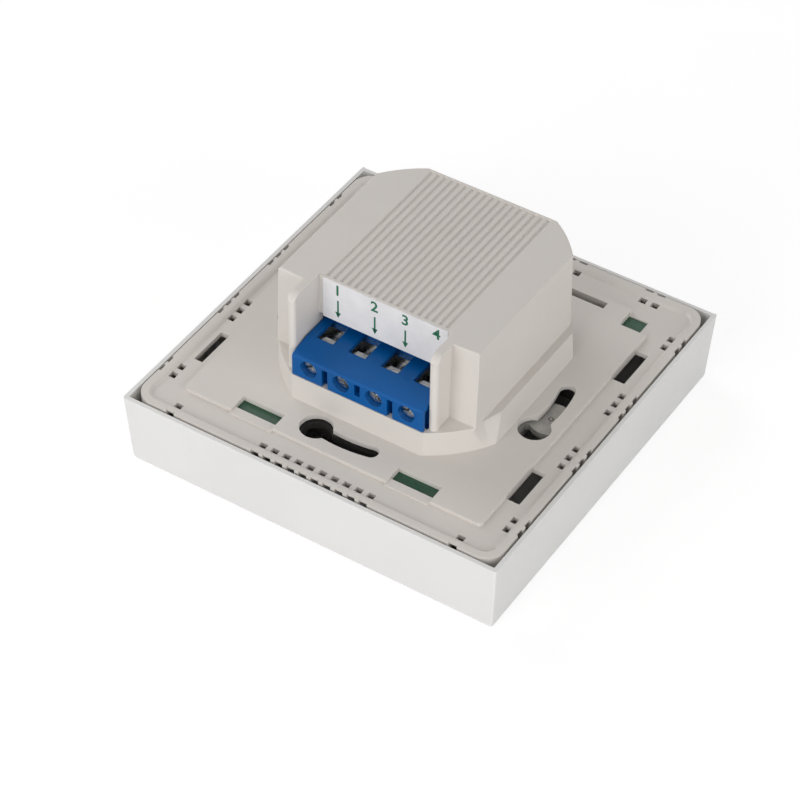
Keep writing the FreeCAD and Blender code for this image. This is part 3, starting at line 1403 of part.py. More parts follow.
def headers():
    """Header between the two boards and header that carries the radar module."""
    span = ("%s - pin_tail" % BOARD_UNDER, "%s + pin_tail" % POWER_TOP)
    strip = (BOARD_TOP, "%s + board_gap" % BOARD_TOP)
    pin_header("board_header", row_of_pins(HEADER_PINS, HEADER_X), HEADER_Y, span, strip)
    span = ("%s - pin_tail + 0.2" % MODULE_UNDER, "%s + pin_tail" % BOARD_TOP)
    pin_header("module_header", row_of_pins(MODULE_PINS), "module_pin_y", span, (MODULE_TOP, BOARD_UNDER))


def radar_module():
    """Microwave module: its board, the screening can and the antenna patch."""
    tall = (MODULE_UNDER, MODULE_TOP)
    plate = block(about("0", "module_half_x"), about("module_y", "module_half_y"), tall)
    clear = (MODULE_UNDER + " - 1", MODULE_TOP + " + 1")
    bores = [rod(x, "module_pin_y", clear, "pin_radius + %s" % OVERLAP) for x in row_of_pins(MODULE_PINS)]
    finished(cut(round_edges(plate, "module_corner", upright), bores), "module_board")

    top = "%s + can_height" % MODULE_TOP
    along = ("module_y - can_front", "module_y + can_back")
    can = round_edges(block(about("0", "can_half"), along, (MODULE_TOP, top)), "0.5", box_edges(top))
    inner = (along[0] + " + can_sheet", along[1] + " - can_sheet")
    room = block(about("0", "can_half - can_sheet"), inner, (MODULE_TOP + " - 1", top + " - can_sheet"))
    finished(cut(can, [room]), "module_screen")

    thin = ("%s - patch_thickness" % MODULE_UNDER, MODULE_UNDER)
    patch = block(about("0", "patch_half_x"), about("module_y", "patch_half_y"), thin)
    feed_along = ("module_y + patch_half_y - %s" % OVERLAP, "module_y + feed_end")
    feed = block(about("0", "feed_width / 2"), feed_along, thin)
    finished(fuse([patch, feed]), "antenna_patch")


def light_sensor_and_lamp():
    """Domed light sensor and status lamp on long leads, facing the window of the cover."""
    radius, barrel, height = mm("lens_radius"), mm("lens_barrel"), mm("lens_height")
    flange = radius + mm("lens_flange")
    dome = (radius * math.sqrt(0.5), radius * (1 - math.sqrt(0.5)))
    points = [(0, 0), (dome, (radius, radius)), (radius, barrel), (flange, barrel)]
    points += [(flange, height), (0, height)]
    for name, x in (("light_sensor", "-light_pitch / 2"), ("status_lamp", "light_pitch / 2")):
        body = new_body(name)
        spun(body, points)
        wires = sketch_on(body, "lens_height - %s" % OVERLAP)
        for side in ("-lead_half_pitch", "lead_half_pitch"):
            add_circle(wires, side, "0", "lead_radius")
        pad(body, wires, "%s - cover_face - lens_standoff - lens_height + %s" % (BOARD_UNDER, OVERLAP))
        put_at(body, x, "-light_line", "cover_face + lens_standoff")


def adjusters():
    """Three trimmers on the sensor board, each with a knob that faces the front."""
    reach = "adjuster_side / 2"
    for name, x in zip(("sensitivity", "time", "daylight"), ADJUSTER_X):
        case = block(about(x, reach), about("adjuster_line", reach), (ADJUSTER_UNDER, BOARD_UNDER))
        deep = (ADJUSTER_UNDER + " - 1", ADJUSTER_UNDER + " + adjuster_bore")
        bore = rod(x, "adjuster_line", deep, "knob_stem_radius + knob_clearance")
        finished(cut(round_edges(case, "adjuster_corner", upright), [bore]), name + "_adjuster")
        knob(name + "_knob", x)


def knob(name, x):
    """Fluted knob with a screwdriver slot, its stem in the trimmer."""
    body = new_body(name)
    height, radius, stem = mm("knob_height"), mm("knob_radius"), mm("knob_stem_radius")
    end = height + mm("knob_stem_length")
    points = [(0, 0), (radius - 0.4, 0), (radius, 0.4), (radius, height)]
    spun(body, points + [(stem, height), (stem, end), (0, end)])
    slot = sketch_on(body, "0")
    add_rectangle(slot, about("0", "knob_slot_width / 2"), about("0", "knob_radius * knob_slot_share"))
    pocket(body, slot, "knob_slot_depth", upward=True)
    flute = sketch_on(body, "0")
    add_plain_circle(flute, radius + mm("knob_flute_out"), 0, mm("knob_flute_radius"))
    first = pocket(body, flute, "knob_height - 0.8", upward=True)
    ring_pattern(body, [first], int(mm("knob_flutes")))
    put_at(body, x, "adjuster_line", "%s - knob_height - knob_lift" % ADJUSTER_UNDER)
    return body


def check_and_write():
    """Refuse anything failed or invalid, then write one file for each sub-part."""
    doc.recompute()
    for thing in doc.Objects:
        if "Invalid" in thing.State or "Error" in thing.State:
            raise RuntimeError("failed: %s %s" % (thing.Name, thing.Label))
    for part in parts:
        if part.Shape.isNull() or not part.Shape.isValid():
            raise RuntimeError("bad shape: %s" % part.Label)
    os.makedirs("parts", exist_ok=True)
    for part in parts:
        part.Shape.exportStep(os.path.join("parts", part.Label + ".step"))
        box, solids = part.Shape.BoundBox, len(part.Shape.Solids)
        size = (part.Label, solids, part.Shape.Volume, box.ZMin, box.ZMax)
        print("%-22s solids %2d  volume %9.1f  z %.2f..%.2f" % size)


housing = rear_housing()
rear_housing_windows(housing)
rear_housing_fixings(housing)
rear_housing_grooves(housing)
rear_housing_vents(housing)
front_cover()
light_window()
carrier_frame()
sensor_board()
power_board()
terminal_block_body()
terminal_contacts()
for pole in pole_range():
    terminal_screw(pole)
    clamp_cage(pole)
terminal_label()
fixings()
relay()
suppression_capacitor()
can_capacitor("bulk_capacitor", "bulk_radius", "bulk_line", "bulk_height")
can_capacitor("output_capacitor", "output_radius", "output_line", "output_height")
buck_inductor()
varistor()
fuse_resistor()
rectifier()
chip("power_chip", (bay("power_chip_place"), "power_chip_line"), (5.0, 4.0, 1.5), POWER_TOP, False)
chip("controller_chip", ("controller_x", "controller_line"), (5.2, 4.4, 1.4), BOARD_UNDER, True)
headers()
radar_module()
light_sensor_and_lamp()
adjusters()
check_and_write()
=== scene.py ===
"""Looks of a flush-mounted motion sensor that lies on its front cover, terminals towards the viewer."""

import json
import logging
import math
from contextlib import contextmanager
from dataclasses import dataclass, field
from enum import Enum
from typing import Callable, Iterator

import bmesh
import bpy
from mathutils import Matrix, Vector

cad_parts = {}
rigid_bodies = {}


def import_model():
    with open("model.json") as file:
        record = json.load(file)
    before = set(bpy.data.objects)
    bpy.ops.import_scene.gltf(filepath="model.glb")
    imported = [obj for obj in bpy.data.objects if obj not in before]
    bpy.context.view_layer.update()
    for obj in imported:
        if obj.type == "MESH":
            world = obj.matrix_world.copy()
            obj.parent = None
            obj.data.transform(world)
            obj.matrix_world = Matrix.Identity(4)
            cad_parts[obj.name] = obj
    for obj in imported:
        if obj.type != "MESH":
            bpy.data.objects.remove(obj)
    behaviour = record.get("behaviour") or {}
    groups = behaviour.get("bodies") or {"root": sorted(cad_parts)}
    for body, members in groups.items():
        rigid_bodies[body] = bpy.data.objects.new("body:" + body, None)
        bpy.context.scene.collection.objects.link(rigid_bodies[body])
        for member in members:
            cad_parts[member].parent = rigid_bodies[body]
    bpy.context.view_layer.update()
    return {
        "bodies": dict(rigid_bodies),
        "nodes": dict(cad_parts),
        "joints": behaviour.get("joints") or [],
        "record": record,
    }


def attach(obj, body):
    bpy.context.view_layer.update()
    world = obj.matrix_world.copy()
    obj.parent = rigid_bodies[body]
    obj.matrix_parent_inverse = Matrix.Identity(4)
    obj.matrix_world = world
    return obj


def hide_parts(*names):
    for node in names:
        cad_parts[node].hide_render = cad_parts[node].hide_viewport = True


MM = 0.001
WHITE_LIGHT = (1.0, 1.0, 1.0, 1.0)
log = logging.getLogger("motion_sensor")

Colour = tuple[float, float, float]
Place = tuple[float, float, float]
Piece = bpy.types.Object
Socket = bpy.types.NodeSocket
Material = bpy.types.Material
Inputs = dict[str | int, object]
Rule = Callable[["SharpEdge"], float]


class Body(Enum):
    """Bodies of the frame that pieces ride on."""

    HOUSING = "housing"
    COVER = "cover"
    SENSITIVITY = "sensitivity_knob"
    TIME = "time_knob"
    DAYLIGHT = "daylight_knob"
    SCREW = "terminal_screw_{}"

    def of(self, number: int | None = None) -> str:
        """The body's name, with the pole's number where it has one."""
        return self.value.format(number) if number else self.value


class Slot(Enum):
    """Material slots of the record."""

    GREY = "grey_plastic"
    WHITE = "white_plastic"
    WINDOW = "window_plastic"
    BLUE = "blue_plastic"
    STEEL = "plated_steel"
    TINNED = "tinned_contact"
    LABEL = "label_paper"
    BOARD = "board_green"
    BLACK = "black_plastic"
    RELAY = "relay_blue"
    FILM = "capacitor_yellow"
    SLEEVE = "can_sleeve"
    DISC = "varistor_blue"
    RESISTOR = "resistor_body"
    FERRITE = "ferrite"
    TIN = "tin_can"
    COPPER = "copper"
    LENS = "clear_lens"
    TRIMMER = "trimmer_blue"
    KNOB = "knob_white"


def linear(colour: Colour) -> tuple[float, float, float, float]:
    """Change a display colour to the linear one that shaders take.

    Args:
        colour: Red, green and blue as shown on screen, 0 to 1.

    Returns:
        The linear colour with an alpha of one.
    """
    parts = [c / 12.92 if c <= 0.04045 else ((c + 0.055) / 1.055) ** 2.4 for c in colour]
    return (*parts, 1.0)


def shade(colour: Colour, factor: float) -> Colour:
    """Darken or lighten a display colour by a factor."""
    return tuple(min(1.0, c * factor) for c in colour)


def direction(azimuth: float, elevation: float) -> Vector:
    """Direction away from the object, by its angles from the front and the horizon in radians."""
    level = math.cos(elevation)
    return Vector((math.sin(azimuth) * level, -math.cos(azimuth) * level, math.sin(elevation)))


class Nodes:
    """A node tree, built node by node."""

    def __init__(self, tree: bpy.types.NodeTree) -> None:
        """Empty the tree and take it."""
        self.tree = tree
        tree.nodes.clear()

    def join(self, source: Socket, target: Socket) -> None:
        """Link one socket to another."""
        self.tree.links.new(source, target)

    def node(self, kind: str, inputs: Inputs | None = None, **settings: object) -> bpy.types.Node:
        """Add a node, set its attributes and feed its inputs.

        Args:
            kind: Node type without its common prefix.
            inputs: For each input a socket to link or a plain value.
            **settings: Attributes of the node.

        Returns:
            The new node.
        """
        made = self.tree.nodes.new("ShaderNode" + kind)
        for key, value in settings.items():
            setattr(made, key, value)
        for key, value in (inputs or {}).items():
            if isinstance(value, Socket):
                self.join(value, made.inputs[key])
            else:
                made.inputs[key].default_value = value
        return made

    def either(self, first: Socket, second: Socket, factor: Socket | float) -> Socket:
        """Mix two surfaces, the first one where the factor is zero."""
        return self.node("MixShader", {"Fac": factor, 1: first, 2: second}).outputs[0]


class Shader(Nodes):
    """Node tree of one material, with the patterns that the finishes share."""

    def __init__(self, name: str) -> None:
        """Start a material with a principled shader on its output.

        Args:
            name: Name of the material.
        """
        self.material = bpy.data.materials.new(name)
        self.material.use_nodes = True
        super().__init__(self.material.node_tree)
        self.surface = self.node("BsdfPrincipled")
        self.output = self.node("OutputMaterial", {"Surface": self.surface.outputs[0]})
        self.where = self.node("TexCoord").outputs["Object"]

    def stretched(self, scale: Place) -> Socket:
        """Object coordinates scaled along each axis, for a pattern with a direction."""
        return self.node("Mapping", {"Scale": scale, "Vector": self.where}).outputs[0]

    def noise(
        self, scale: float, detail: float = 2.0, rough: float = 0.5, at: Socket | None = None
    ) -> Socket:
        """Noise on coordinates: features per metre, octaves, and strength of the finer octaves."""
        inputs = {"Scale": scale, "Detail": detail, "Roughness": rough, "Vector": at or self.where}
        return self.node("TexNoise", inputs).outputs["Fac"]

    def spread(self, value: Socket, low: float, high: float) -> Socket:
        """Map a pattern, which lies from about a quarter to three quarters, onto a range."""
        inputs = {"From Min": 0.25, "From Max": 0.75, "To Min": low, "To Max": high, "Value": value}
        return self.node("MapRange", inputs, clamp=True).outputs["Result"]

    def ramp(self, value: Socket, stops: list[tuple[float, Colour]]) -> Socket:
        """Colour ramp over a pattern.

        Args:
            value: The pattern.
            stops: Positions and display colours.

        Returns:
            The socket with the colour.
        """
        made = self.node("ValToRGB", {"Fac": value})
        ramp = made.color_ramp
        while len(ramp.elements) < len(stops):
            ramp.elements.new(0.5)
        for element, (position, colour) in zip(ramp.elements, stops):
            element.position = position
            element.color = linear(colour)
        return made.outputs["Color"]

    def tones(self, value: Socket, colour: Colour, *stops: tuple[float, float]) -> Socket:
        """Colour ramp from darker to lighter tones of one colour, as positions and factors."""
        return self.ramp(value, [(position, shade(colour, factor)) for position, factor in stops])

    def blend(self, first: Socket, second: Socket, factor: Socket | float, kind: str = "MIX") -> Socket:
        """Mix two colours, the first one where the factor is zero."""
        inputs = {"Factor": factor, "A": first, "B": second}
        return self.node("Mix", inputs, data_type="RGBA", blend_type=kind).outputs["Result"]

    def paint(self, colour: Socket) -> None:
        """Give the surface its colour."""
        self.join(colour, self.surface.inputs["Base Color"])

    def dull(self, pattern: Socket, low: float, high: float) -> None:
        """Let a pattern vary the surface's roughness from low to high."""
        self.join(self.spread(pattern, low, high), self.surface.inputs["Roughness"])

    def relief(self, height: Socket, depth: float, strength: float) -> None:
        """Add a relief to the surface's normal, on top of any relief before it.

        Args:
            height: Pattern of the relief.
            depth: Height of the relief in metres.
            strength: Share of it that shows.
        """
        made = self.node("Bump", {"Distance": depth, "Strength": strength, "Height": height})
        before = self.surface.inputs["Normal"].links
        if before:
            self.join(before[0].from_socket, made.inputs["Normal"])
        self.join(made.outputs["Normal"], self.surface.inputs["Normal"])

    def put(self, name: str, value: object) -> None:
        """Set a socket of the surface shader."""
        self.surface.inputs[name].default_value = value


@dataclass(frozen=True)
class MouldedPlastic:
    """Injection-moulded plastic with a fine satin grain, soft flow marks and tiny scuffs.

    Attributes:
        name: Name of the material.
        colour: Display colour.
        roughness: Middle roughness.
        uneven: Share by which the colour varies.
        grain: Height of the grain in metres.
        grain_scale: Grain features per metre.
        scatter: Depth to which light enters, in metres.
        gloss: Share of the surface's gloss, 0.5 for a common plastic.
    """

    name: str
    colour: Colour
    roughness: float = 0.45
    uneven: float = 0.025
    grain: float = 0.00001
    grain_scale: float = 2600.0
    scatter: float = 0.0
    gloss: float = 0.5

    def material(self) -> Material:
        """Build the material and return it."""
        s = Shader(self.name)
        base = s.tones(s.noise(38.0, 3.0), self.colour, (0.3, 1 - self.uneven), (0.7, 1 + self.uneven))
        dusty = s.ramp(s.noise(900.0, 4.0, 0.7), [(0.24, shade(self.colour, 0.9)), (0.3, (1.0, 1.0, 1.0))])
        s.paint(s.blend(base, dusty, 0.35, "MULTIPLY"))
        scuffs = s.noise(140.0, 4.0, 0.65, s.stretched((1.0, 3.0, 1.0)))
        s.dull(scuffs, self.roughness - 0.07, self.roughness + 0.08)
        s.relief(s.noise(self.grain_scale), self.grain, 0.6)
        s.relief(s.noise(60.0, 1.0), 0.00003, 0.35)
        s.put("IOR", 1.49)
        s.put("Specular IOR Level", self.gloss)
        if self.scatter:
            s.put("Subsurface Weight", 0.12)
            s.put("Subsurface Radius", (1.0, 0.9, 0.8))
            s.put("Subsurface Scale", self.scatter)
        return s.material


@dataclass(frozen=True)
class CarrierPlastic:
    """Inner carrier darkened as painted shade, with a paler patch of painted light behind one keyhole.

    The dark colour stands in for the shade inside the housing; the patch stands in for the lit top of a disc
    seen through that keyhole.

    Attributes:
        name: Name of the material.
        deep: Display colour of the moulding, darkened as painted shade.
        pad: Display colour of the patch, paler as painted light.
        place: Middle of the patch, in metres.
        reach: Radius of the patch, in metres.
        border: Width over which the patch fades out, in metres.
    """

    name: str
    deep: Colour
    pad: Colour
    place: Place
    reach: float
    border: float = 0.5 * MM

    def material(self) -> Material:
        """Build the material and return it."""
        s = Shader(self.name)
        # Mask of the painted light: one on the patch, fading to nought over its border.
        apart = s.node("VectorMath", {0: s.where, 1: self.place}, operation="DISTANCE").outputs["Value"]
        inputs = {"From Min": self.reach + self.border, "From Max": self.reach, "Value": apart}
        on_painted_lit_patch = s.node("MapRange", inputs, clamp=True)
        grain = s.noise(700.0, 3.0)
        # Painted shade for the moulding and painted light for the patch, both with a faint grain.
        deep, pad = (s.tones(grain, colour, (0.3, 0.93), (0.7, 1.06)) for colour in (self.deep, self.pad))
        s.paint(s.blend(deep, pad, on_painted_lit_patch.outputs["Result"]))
        s.dull(grain, 0.48, 0.64)
        s.relief(s.noise(2200.0), 0.000012, 0.6)
        return s.material


@dataclass(frozen=True)
class PlatedMetal:
    """Plated sheet or turned metal with fine drawing marks and a clouded plating.

    Attributes:
        name: Name of the material.
        colour: Display colour.
        roughness: Middle roughness.
        marks: Direction in which the drawing marks are stretched.
        metallic: Share of bare metal; a dull plating has less.
    """

    name: str
    colour: Colour
    roughness: float = 0.32
    marks: Place = (1.0, 1.0, 8.0)
    metallic: float = 1.0

    def material(self) -> Material:
        """Build the material and return it."""
        s = Shader(self.name)
        cloud = s.noise(420.0, 3.0, 0.6)
        s.paint(s.tones(cloud, self.colour, (0.3, 0.82), (0.55, 1.0), (0.8, 1.08)))
        drawn = s.noise(700.0, 3.0, 0.6, s.stretched(self.marks))
        s.dull(drawn, self.roughness - 0.1, self.roughness + 0.14)
        s.relief(drawn, 0.000012, 0.7)
        s.put("Metallic", self.metallic)
        return s.material


@dataclass(frozen=True)
class CircuitBoard:
    """Glass-fibre board under solder resist, with tracks that show as a paler relief.

    Attributes:
        name: Name of the material.
        colour: Display colour of the resist between tracks.
        track: Display colour over copper.
        pitch: Track cells per metre.
    """

    name: str
    colour: Colour
    track: Colour
    pitch: float = 190.0

    def material(self) -> Material:
        """Build the material and return it."""
        s = Shader(self.name)
        inputs = {"Scale": self.pitch, "Mortar Size": 0.09, "Mortar Smooth": 0.1, "Vector": s.where}
        colours = {"Color1": self.colour, "Color2": shade(self.colour, 1.12), "Mortar": self.track}
        inputs.update((key, linear(colour)) for key, colour in colours.items())
        cells = s.node("TexBrick", inputs, offset=0.37, offset_frequency=3, squash=0.6, squash_frequency=2)
        weave = s.noise(1500.0)
        fibre = s.tones(weave, self.colour, (0.3, 0.86), (0.7, 1.1))
        s.paint(s.blend(cells.outputs["Color"], fibre, 0.35))
        s.dull(s.noise(300.0), 0.26, 0.42)
        s.relief(cells.outputs["Fac"], 0.00003, 0.6)
        s.relief(weave, 0.00001, 0.4)
        return s.material


@dataclass(frozen=True)
class CoatedPaper:
    """Self-adhesive label stock: smooth, faintly mottled, with a soft fibre relief."""

    name: str
    colour: Colour
    roughness: float = 0.38

    def material(self) -> Material:
        """Build the material and return it."""
        s = Shader(self.name)
        mottle = s.noise(260.0, 4.0, 0.6)
        s.paint(s.tones(mottle, self.colour, (0.3, 0.972), (0.7, 1.015)))
        s.dull(mottle, self.roughness - 0.05, self.roughness + 0.07)
        s.relief(s.noise(3200.0, 3.0), 0.000006, 0.5)
        s.relief(s.noise(90.0, 1.0), 0.00004, 0.3)
        return s.material


@dataclass(frozen=True)
class PrintInk:
    """Screen-printed ink, a little thinner at its grain."""

    name: str
    colour: Colour

    def material(self) -> Material:
        """Build the material and return it."""
        s = Shader(self.name)
        grain = s.noise(4200.0, 3.0, 0.7)
        s.paint(s.tones(grain, self.colour, (0.3, 0.85), (0.62, 1.0), (0.85, 1.35)))
        s.dull(grain, 0.42, 0.6)
        s.relief(grain, 0.000004, 0.5)
        return s.material


@dataclass(frozen=True)
class ClearEpoxy:
    """Water-clear or milky epoxy with a faint tint and slow waves on its skin.

    Attributes:
        name: Name of the material.
        colour: Display colour.
        through: Share of light that goes through.
        roughness: Middle roughness.
    """

    name: str
    colour: Colour
    through: float = 0.9
    roughness: float = 0.1

    def material(self) -> Material:
        """Build the material and return it."""
        s = Shader(self.name)
        cloud = s.noise(240.0)
        s.paint(s.tones(cloud, self.colour, (0.3, 0.96), (0.7, 1.03)))
        s.dull(cloud, self.roughness, self.roughness + 0.08)
        s.relief(s.noise(500.0, 1.0), 0.00001, 0.4)
        s.put("Transmission Weight", self.through)
        s.put("IOR", 1.52)
        return s.material


@dataclass(frozen=True)
class Winding:
    """Enamelled copper wire wound round a dark core: close turns along an upright axis.

    Attributes:
        name: Name of the material.
        wire: Display colour of the wire.
        core: Display colour of the gaps.
        turns: Turns per metre.
    """

    name: str
    wire: Colour
    core: Colour
    turns: float = 2200.0

    def material(self) -> Material:
        """Build the material and return it."""
        s = Shader(self.name)
        inputs = {"Scale": self.turns / math.tau, "Distortion": 0.4, "Vector": s.where}
        made = s.node("TexWave", inputs, wave_type="BANDS", bands_direction="Z", wave_profile="SIN")
        turns = made.outputs["Fac"]
        s.paint(s.ramp(turns, [(0.1, self.core), (0.5, self.wire)]))
        s.dull(s.noise(200.0), 0.3, 0.45)
        s.relief(turns, 0.00006, 0.8)
        return s.material


FINISHES = {
    Slot.GREY: MouldedPlastic("grey_abs", (0.83, 0.81, 0.787), 0.5, 0.012, 0.000012, 2200.0, 0.0012, 0.4),
    Slot.WHITE: MouldedPlastic("white_abs", (0.875, 0.872, 0.865), 0.34, 0.008, 0.000005, 3000.0, 0.0012),
    Slot.WINDOW: ClearEpoxy("milky_window", (0.93, 0.94, 0.95), 0.45, 0.32),
    Slot.BLUE: MouldedPlastic("blue_polyamide", (0.0, 0.33, 0.595), 0.36, 0.05, 0.000006, 2400.0, 0.0, 0.22),
    Slot.STEEL: PlatedMetal("zinc_plate", (0.82, 0.82, 0.81), 0.27),
    Slot.TINNED: PlatedMetal("tinned_brass", (0.95, 0.94, 0.91), 0.3, metallic=0.35),
    Slot.LABEL: CoatedPaper("label_stock", (0.885, 0.88, 0.885)),
    Slot.BOARD: CircuitBoard("solder_resist", (0.08, 0.235, 0.16), (0.13, 0.32, 0.22)),
    Slot.BLACK: MouldedPlastic("black_moulding", (0.085, 0.083, 0.08), 0.5, 0.06),
    Slot.RELAY: MouldedPlastic("relay_case", (0.12, 0.32, 0.58), 0.35, 0.03),
    Slot.FILM: MouldedPlastic("film_case", (0.86, 0.69, 0.2), 0.35, 0.03),
    Slot.SLEEVE: MouldedPlastic("shrink_sleeve", (0.14, 0.14, 0.18), 0.28, 0.05),
    Slot.DISC: MouldedPlastic("dipped_disc", (0.13, 0.3, 0.62), 0.3, 0.06, 0.00002, 900.0),
    Slot.RESISTOR: MouldedPlastic("lacquer", (0.45, 0.62, 0.55), 0.4, 0.05),
    Slot.FERRITE: Winding("enamelled_wire", (0.55, 0.3, 0.17), (0.12, 0.09, 0.08)),
    Slot.TIN: PlatedMetal("tin_plate", (0.82, 0.825, 0.83), 0.26, (1.0, 8.0, 1.0)),
    Slot.COPPER: PlatedMetal("gilt_copper", (0.86, 0.68, 0.38), 0.25, (6.0, 1.0, 1.0)),
    Slot.LENS: ClearEpoxy("lens_epoxy", (0.93, 0.95, 0.96), 0.92, 0.06),
    Slot.TRIMMER: MouldedPlastic("trimmer_case", (0.1, 0.26, 0.54), 0.42, 0.04),
    Slot.KNOB: MouldedPlastic("knob_nylon", (0.93, 0.925, 0.91), 0.4, 0.01),
}


class Palette:
    """Every finish of the sensor, each built once."""

    def __init__(self) -> None:
        """Build the materials."""
        self.materials = {slot: finish.material() for slot, finish in FINISHES.items()}
        self.ink = PrintInk("green_ink", (0.1, 0.42, 0.3)).material()
        # The carrier's finish paints shade over its moulding and a patch of light behind the keyhole on the
        # right.
        pad = (29.8 * MM, -0.5 * MM, 13.5 * MM)
        carrier = CarrierPlastic("carrier_painted_shade_and_light", (0.22, 0.215, 0.21), (0.68, 0.67, 0.65), pad, 9.3 * MM)
        self.carrier = carrier.material()

    def dress(self, piece: Piece, slot: Slot, material: Material | None = None) -> None:
        """Give a piece one finish: the one of the record's slot, or another in its place.

        Args:
            piece: The object.
            slot: The record's material slot.
            material: A finish in place of the slot's own.
        """
        piece.data.materials.clear()
        piece.data.materials.append(material or self.materials[slot])


class Bench:
    """Modelling bench: operators on one piece at a time."""

    @staticmethod
    def clear() -> None:
        """Leave edit mode and select nothing."""
        if bpy.context.mode != "OBJECT":
            bpy.ops.object.mode_set(mode="OBJECT")
        bpy.ops.object.select_all(action="DESELECT")

    @staticmethod
    def take(piece: Piece) -> Piece:
        """Make a piece the only selected and active one, and return it."""
        Bench.clear()
        piece.select_set(True)
        bpy.context.view_layer.objects.active = piece
        return piece

    @staticmethod
    @contextmanager
    def edit(piece: Piece) -> Iterator[Piece]:
        """Hold a piece in edit mode, with nothing of it selected at the start."""
        Bench.take(piece)
        bpy.ops.object.mode_set(mode="EDIT")
        bpy.ops.mesh.select_mode(type="FACE")
        bpy.ops.mesh.select_all(action="DESELECT")
        try:
            yield piece
        finally:
            bpy.ops.object.mode_set(mode="OBJECT")

    @staticmethod
    def pick_end(piece: Piece, towards: float) -> None:
        """Select a piece's upper or lower end face; the piece is in edit mode.

        Args:
            piece: The piece.
            towards: Plus one for the upper end, minus one for the lower.
        """
        mesh = bmesh.from_edit_mesh(piece.data)
        for face in mesh.faces:
            face.select_set(face.normal.z * towards > 0.9)
        bmesh.update_edit_mesh(piece.data)

    @staticmethod
    def added(name: str) -> Piece:
        """Name the primitive that was just added, take it and return it."""
        piece = bpy.context.active_object
        piece.name = name
        piece.data.name = name
        return Bench.take(piece)

    @staticmethod
    def apply(piece: Piece, kind: str, **settings: object) -> None:
        """Add a modifier with its settings and apply it.

        Args:
            piece: The piece.
            kind: Type of the modifier.
            **settings: Attributes of the modifier.
        """
        Bench.take(piece)
        modifier = piece.modifiers.new(kind.lower(), kind)
        for key, value in settings.items():
            setattr(modifier, key, value)
        bpy.ops.object.modifier_apply(modifier=modifier.name)

    @staticmethod
    def settle(piece: Piece) -> Piece:
        """Put a piece's place into its mesh, and return it."""
        Bench.take(piece)
        bpy.ops.object.transform_apply(location=True, rotation=True, scale=True)
        return piece

    @staticmethod
    def ease(piece: Piece, width: float) -> None:
        """Break the edges of a piece that are sharper than 50 degrees."""
        limit = math.radians(50)
        Bench.apply(piece, "BEVEL", width=width, segments=2, limit_method="ANGLE", angle_limit=limit)

    @staticmethod
    def carve(piece: Piece, cutter: Piece) -> None:
        """Cut one piece out of another and delete the cutter."""
        Bench.apply(piece, "BOOLEAN", operation="DIFFERENCE", object=cutter, solver="EXACT")
        bpy.data.objects.remove(cutter)

    @staticmethod
    def smooth(piece: Piece, degrees: float = 40.0) -> None:
        """Shade a piece smooth except over edges sharper than an angle, flat faces kept flat."""
        Bench.take(piece)
        bpy.ops.object.shade_smooth_by_angle(angle=math.radians(degrees))
        Bench.apply(piece, "WEIGHTED_NORMAL", mode="FACE_AREA", weight=60, keep_sharp=True)

    @staticmethod
    def gather(name: str, pieces: list[Piece]) -> Piece:
        """Join pieces into one.

        Args:
            name: Name of the joined piece.
            pieces: Pieces to join, at least one.

        Returns:
            The joined piece.
        """
        Bench.clear()
        for piece in pieces:
            piece.select_set(True)
        bpy.context.view_layer.objects.active = pieces[0]
        if len(pieces) > 1:
            bpy.ops.object.join()
        return Bench.added(name)


@dataclass(frozen=True)
class SharpEdge:
    """Where a sharp edge lies and how it runs.

    Attributes:
        place: Its middle, in millimetres.
        along: Its direction.
        proud: True where it stands proud, false in an inner corner.
    """

    place: Vector
    along: Vector
    proud: bool


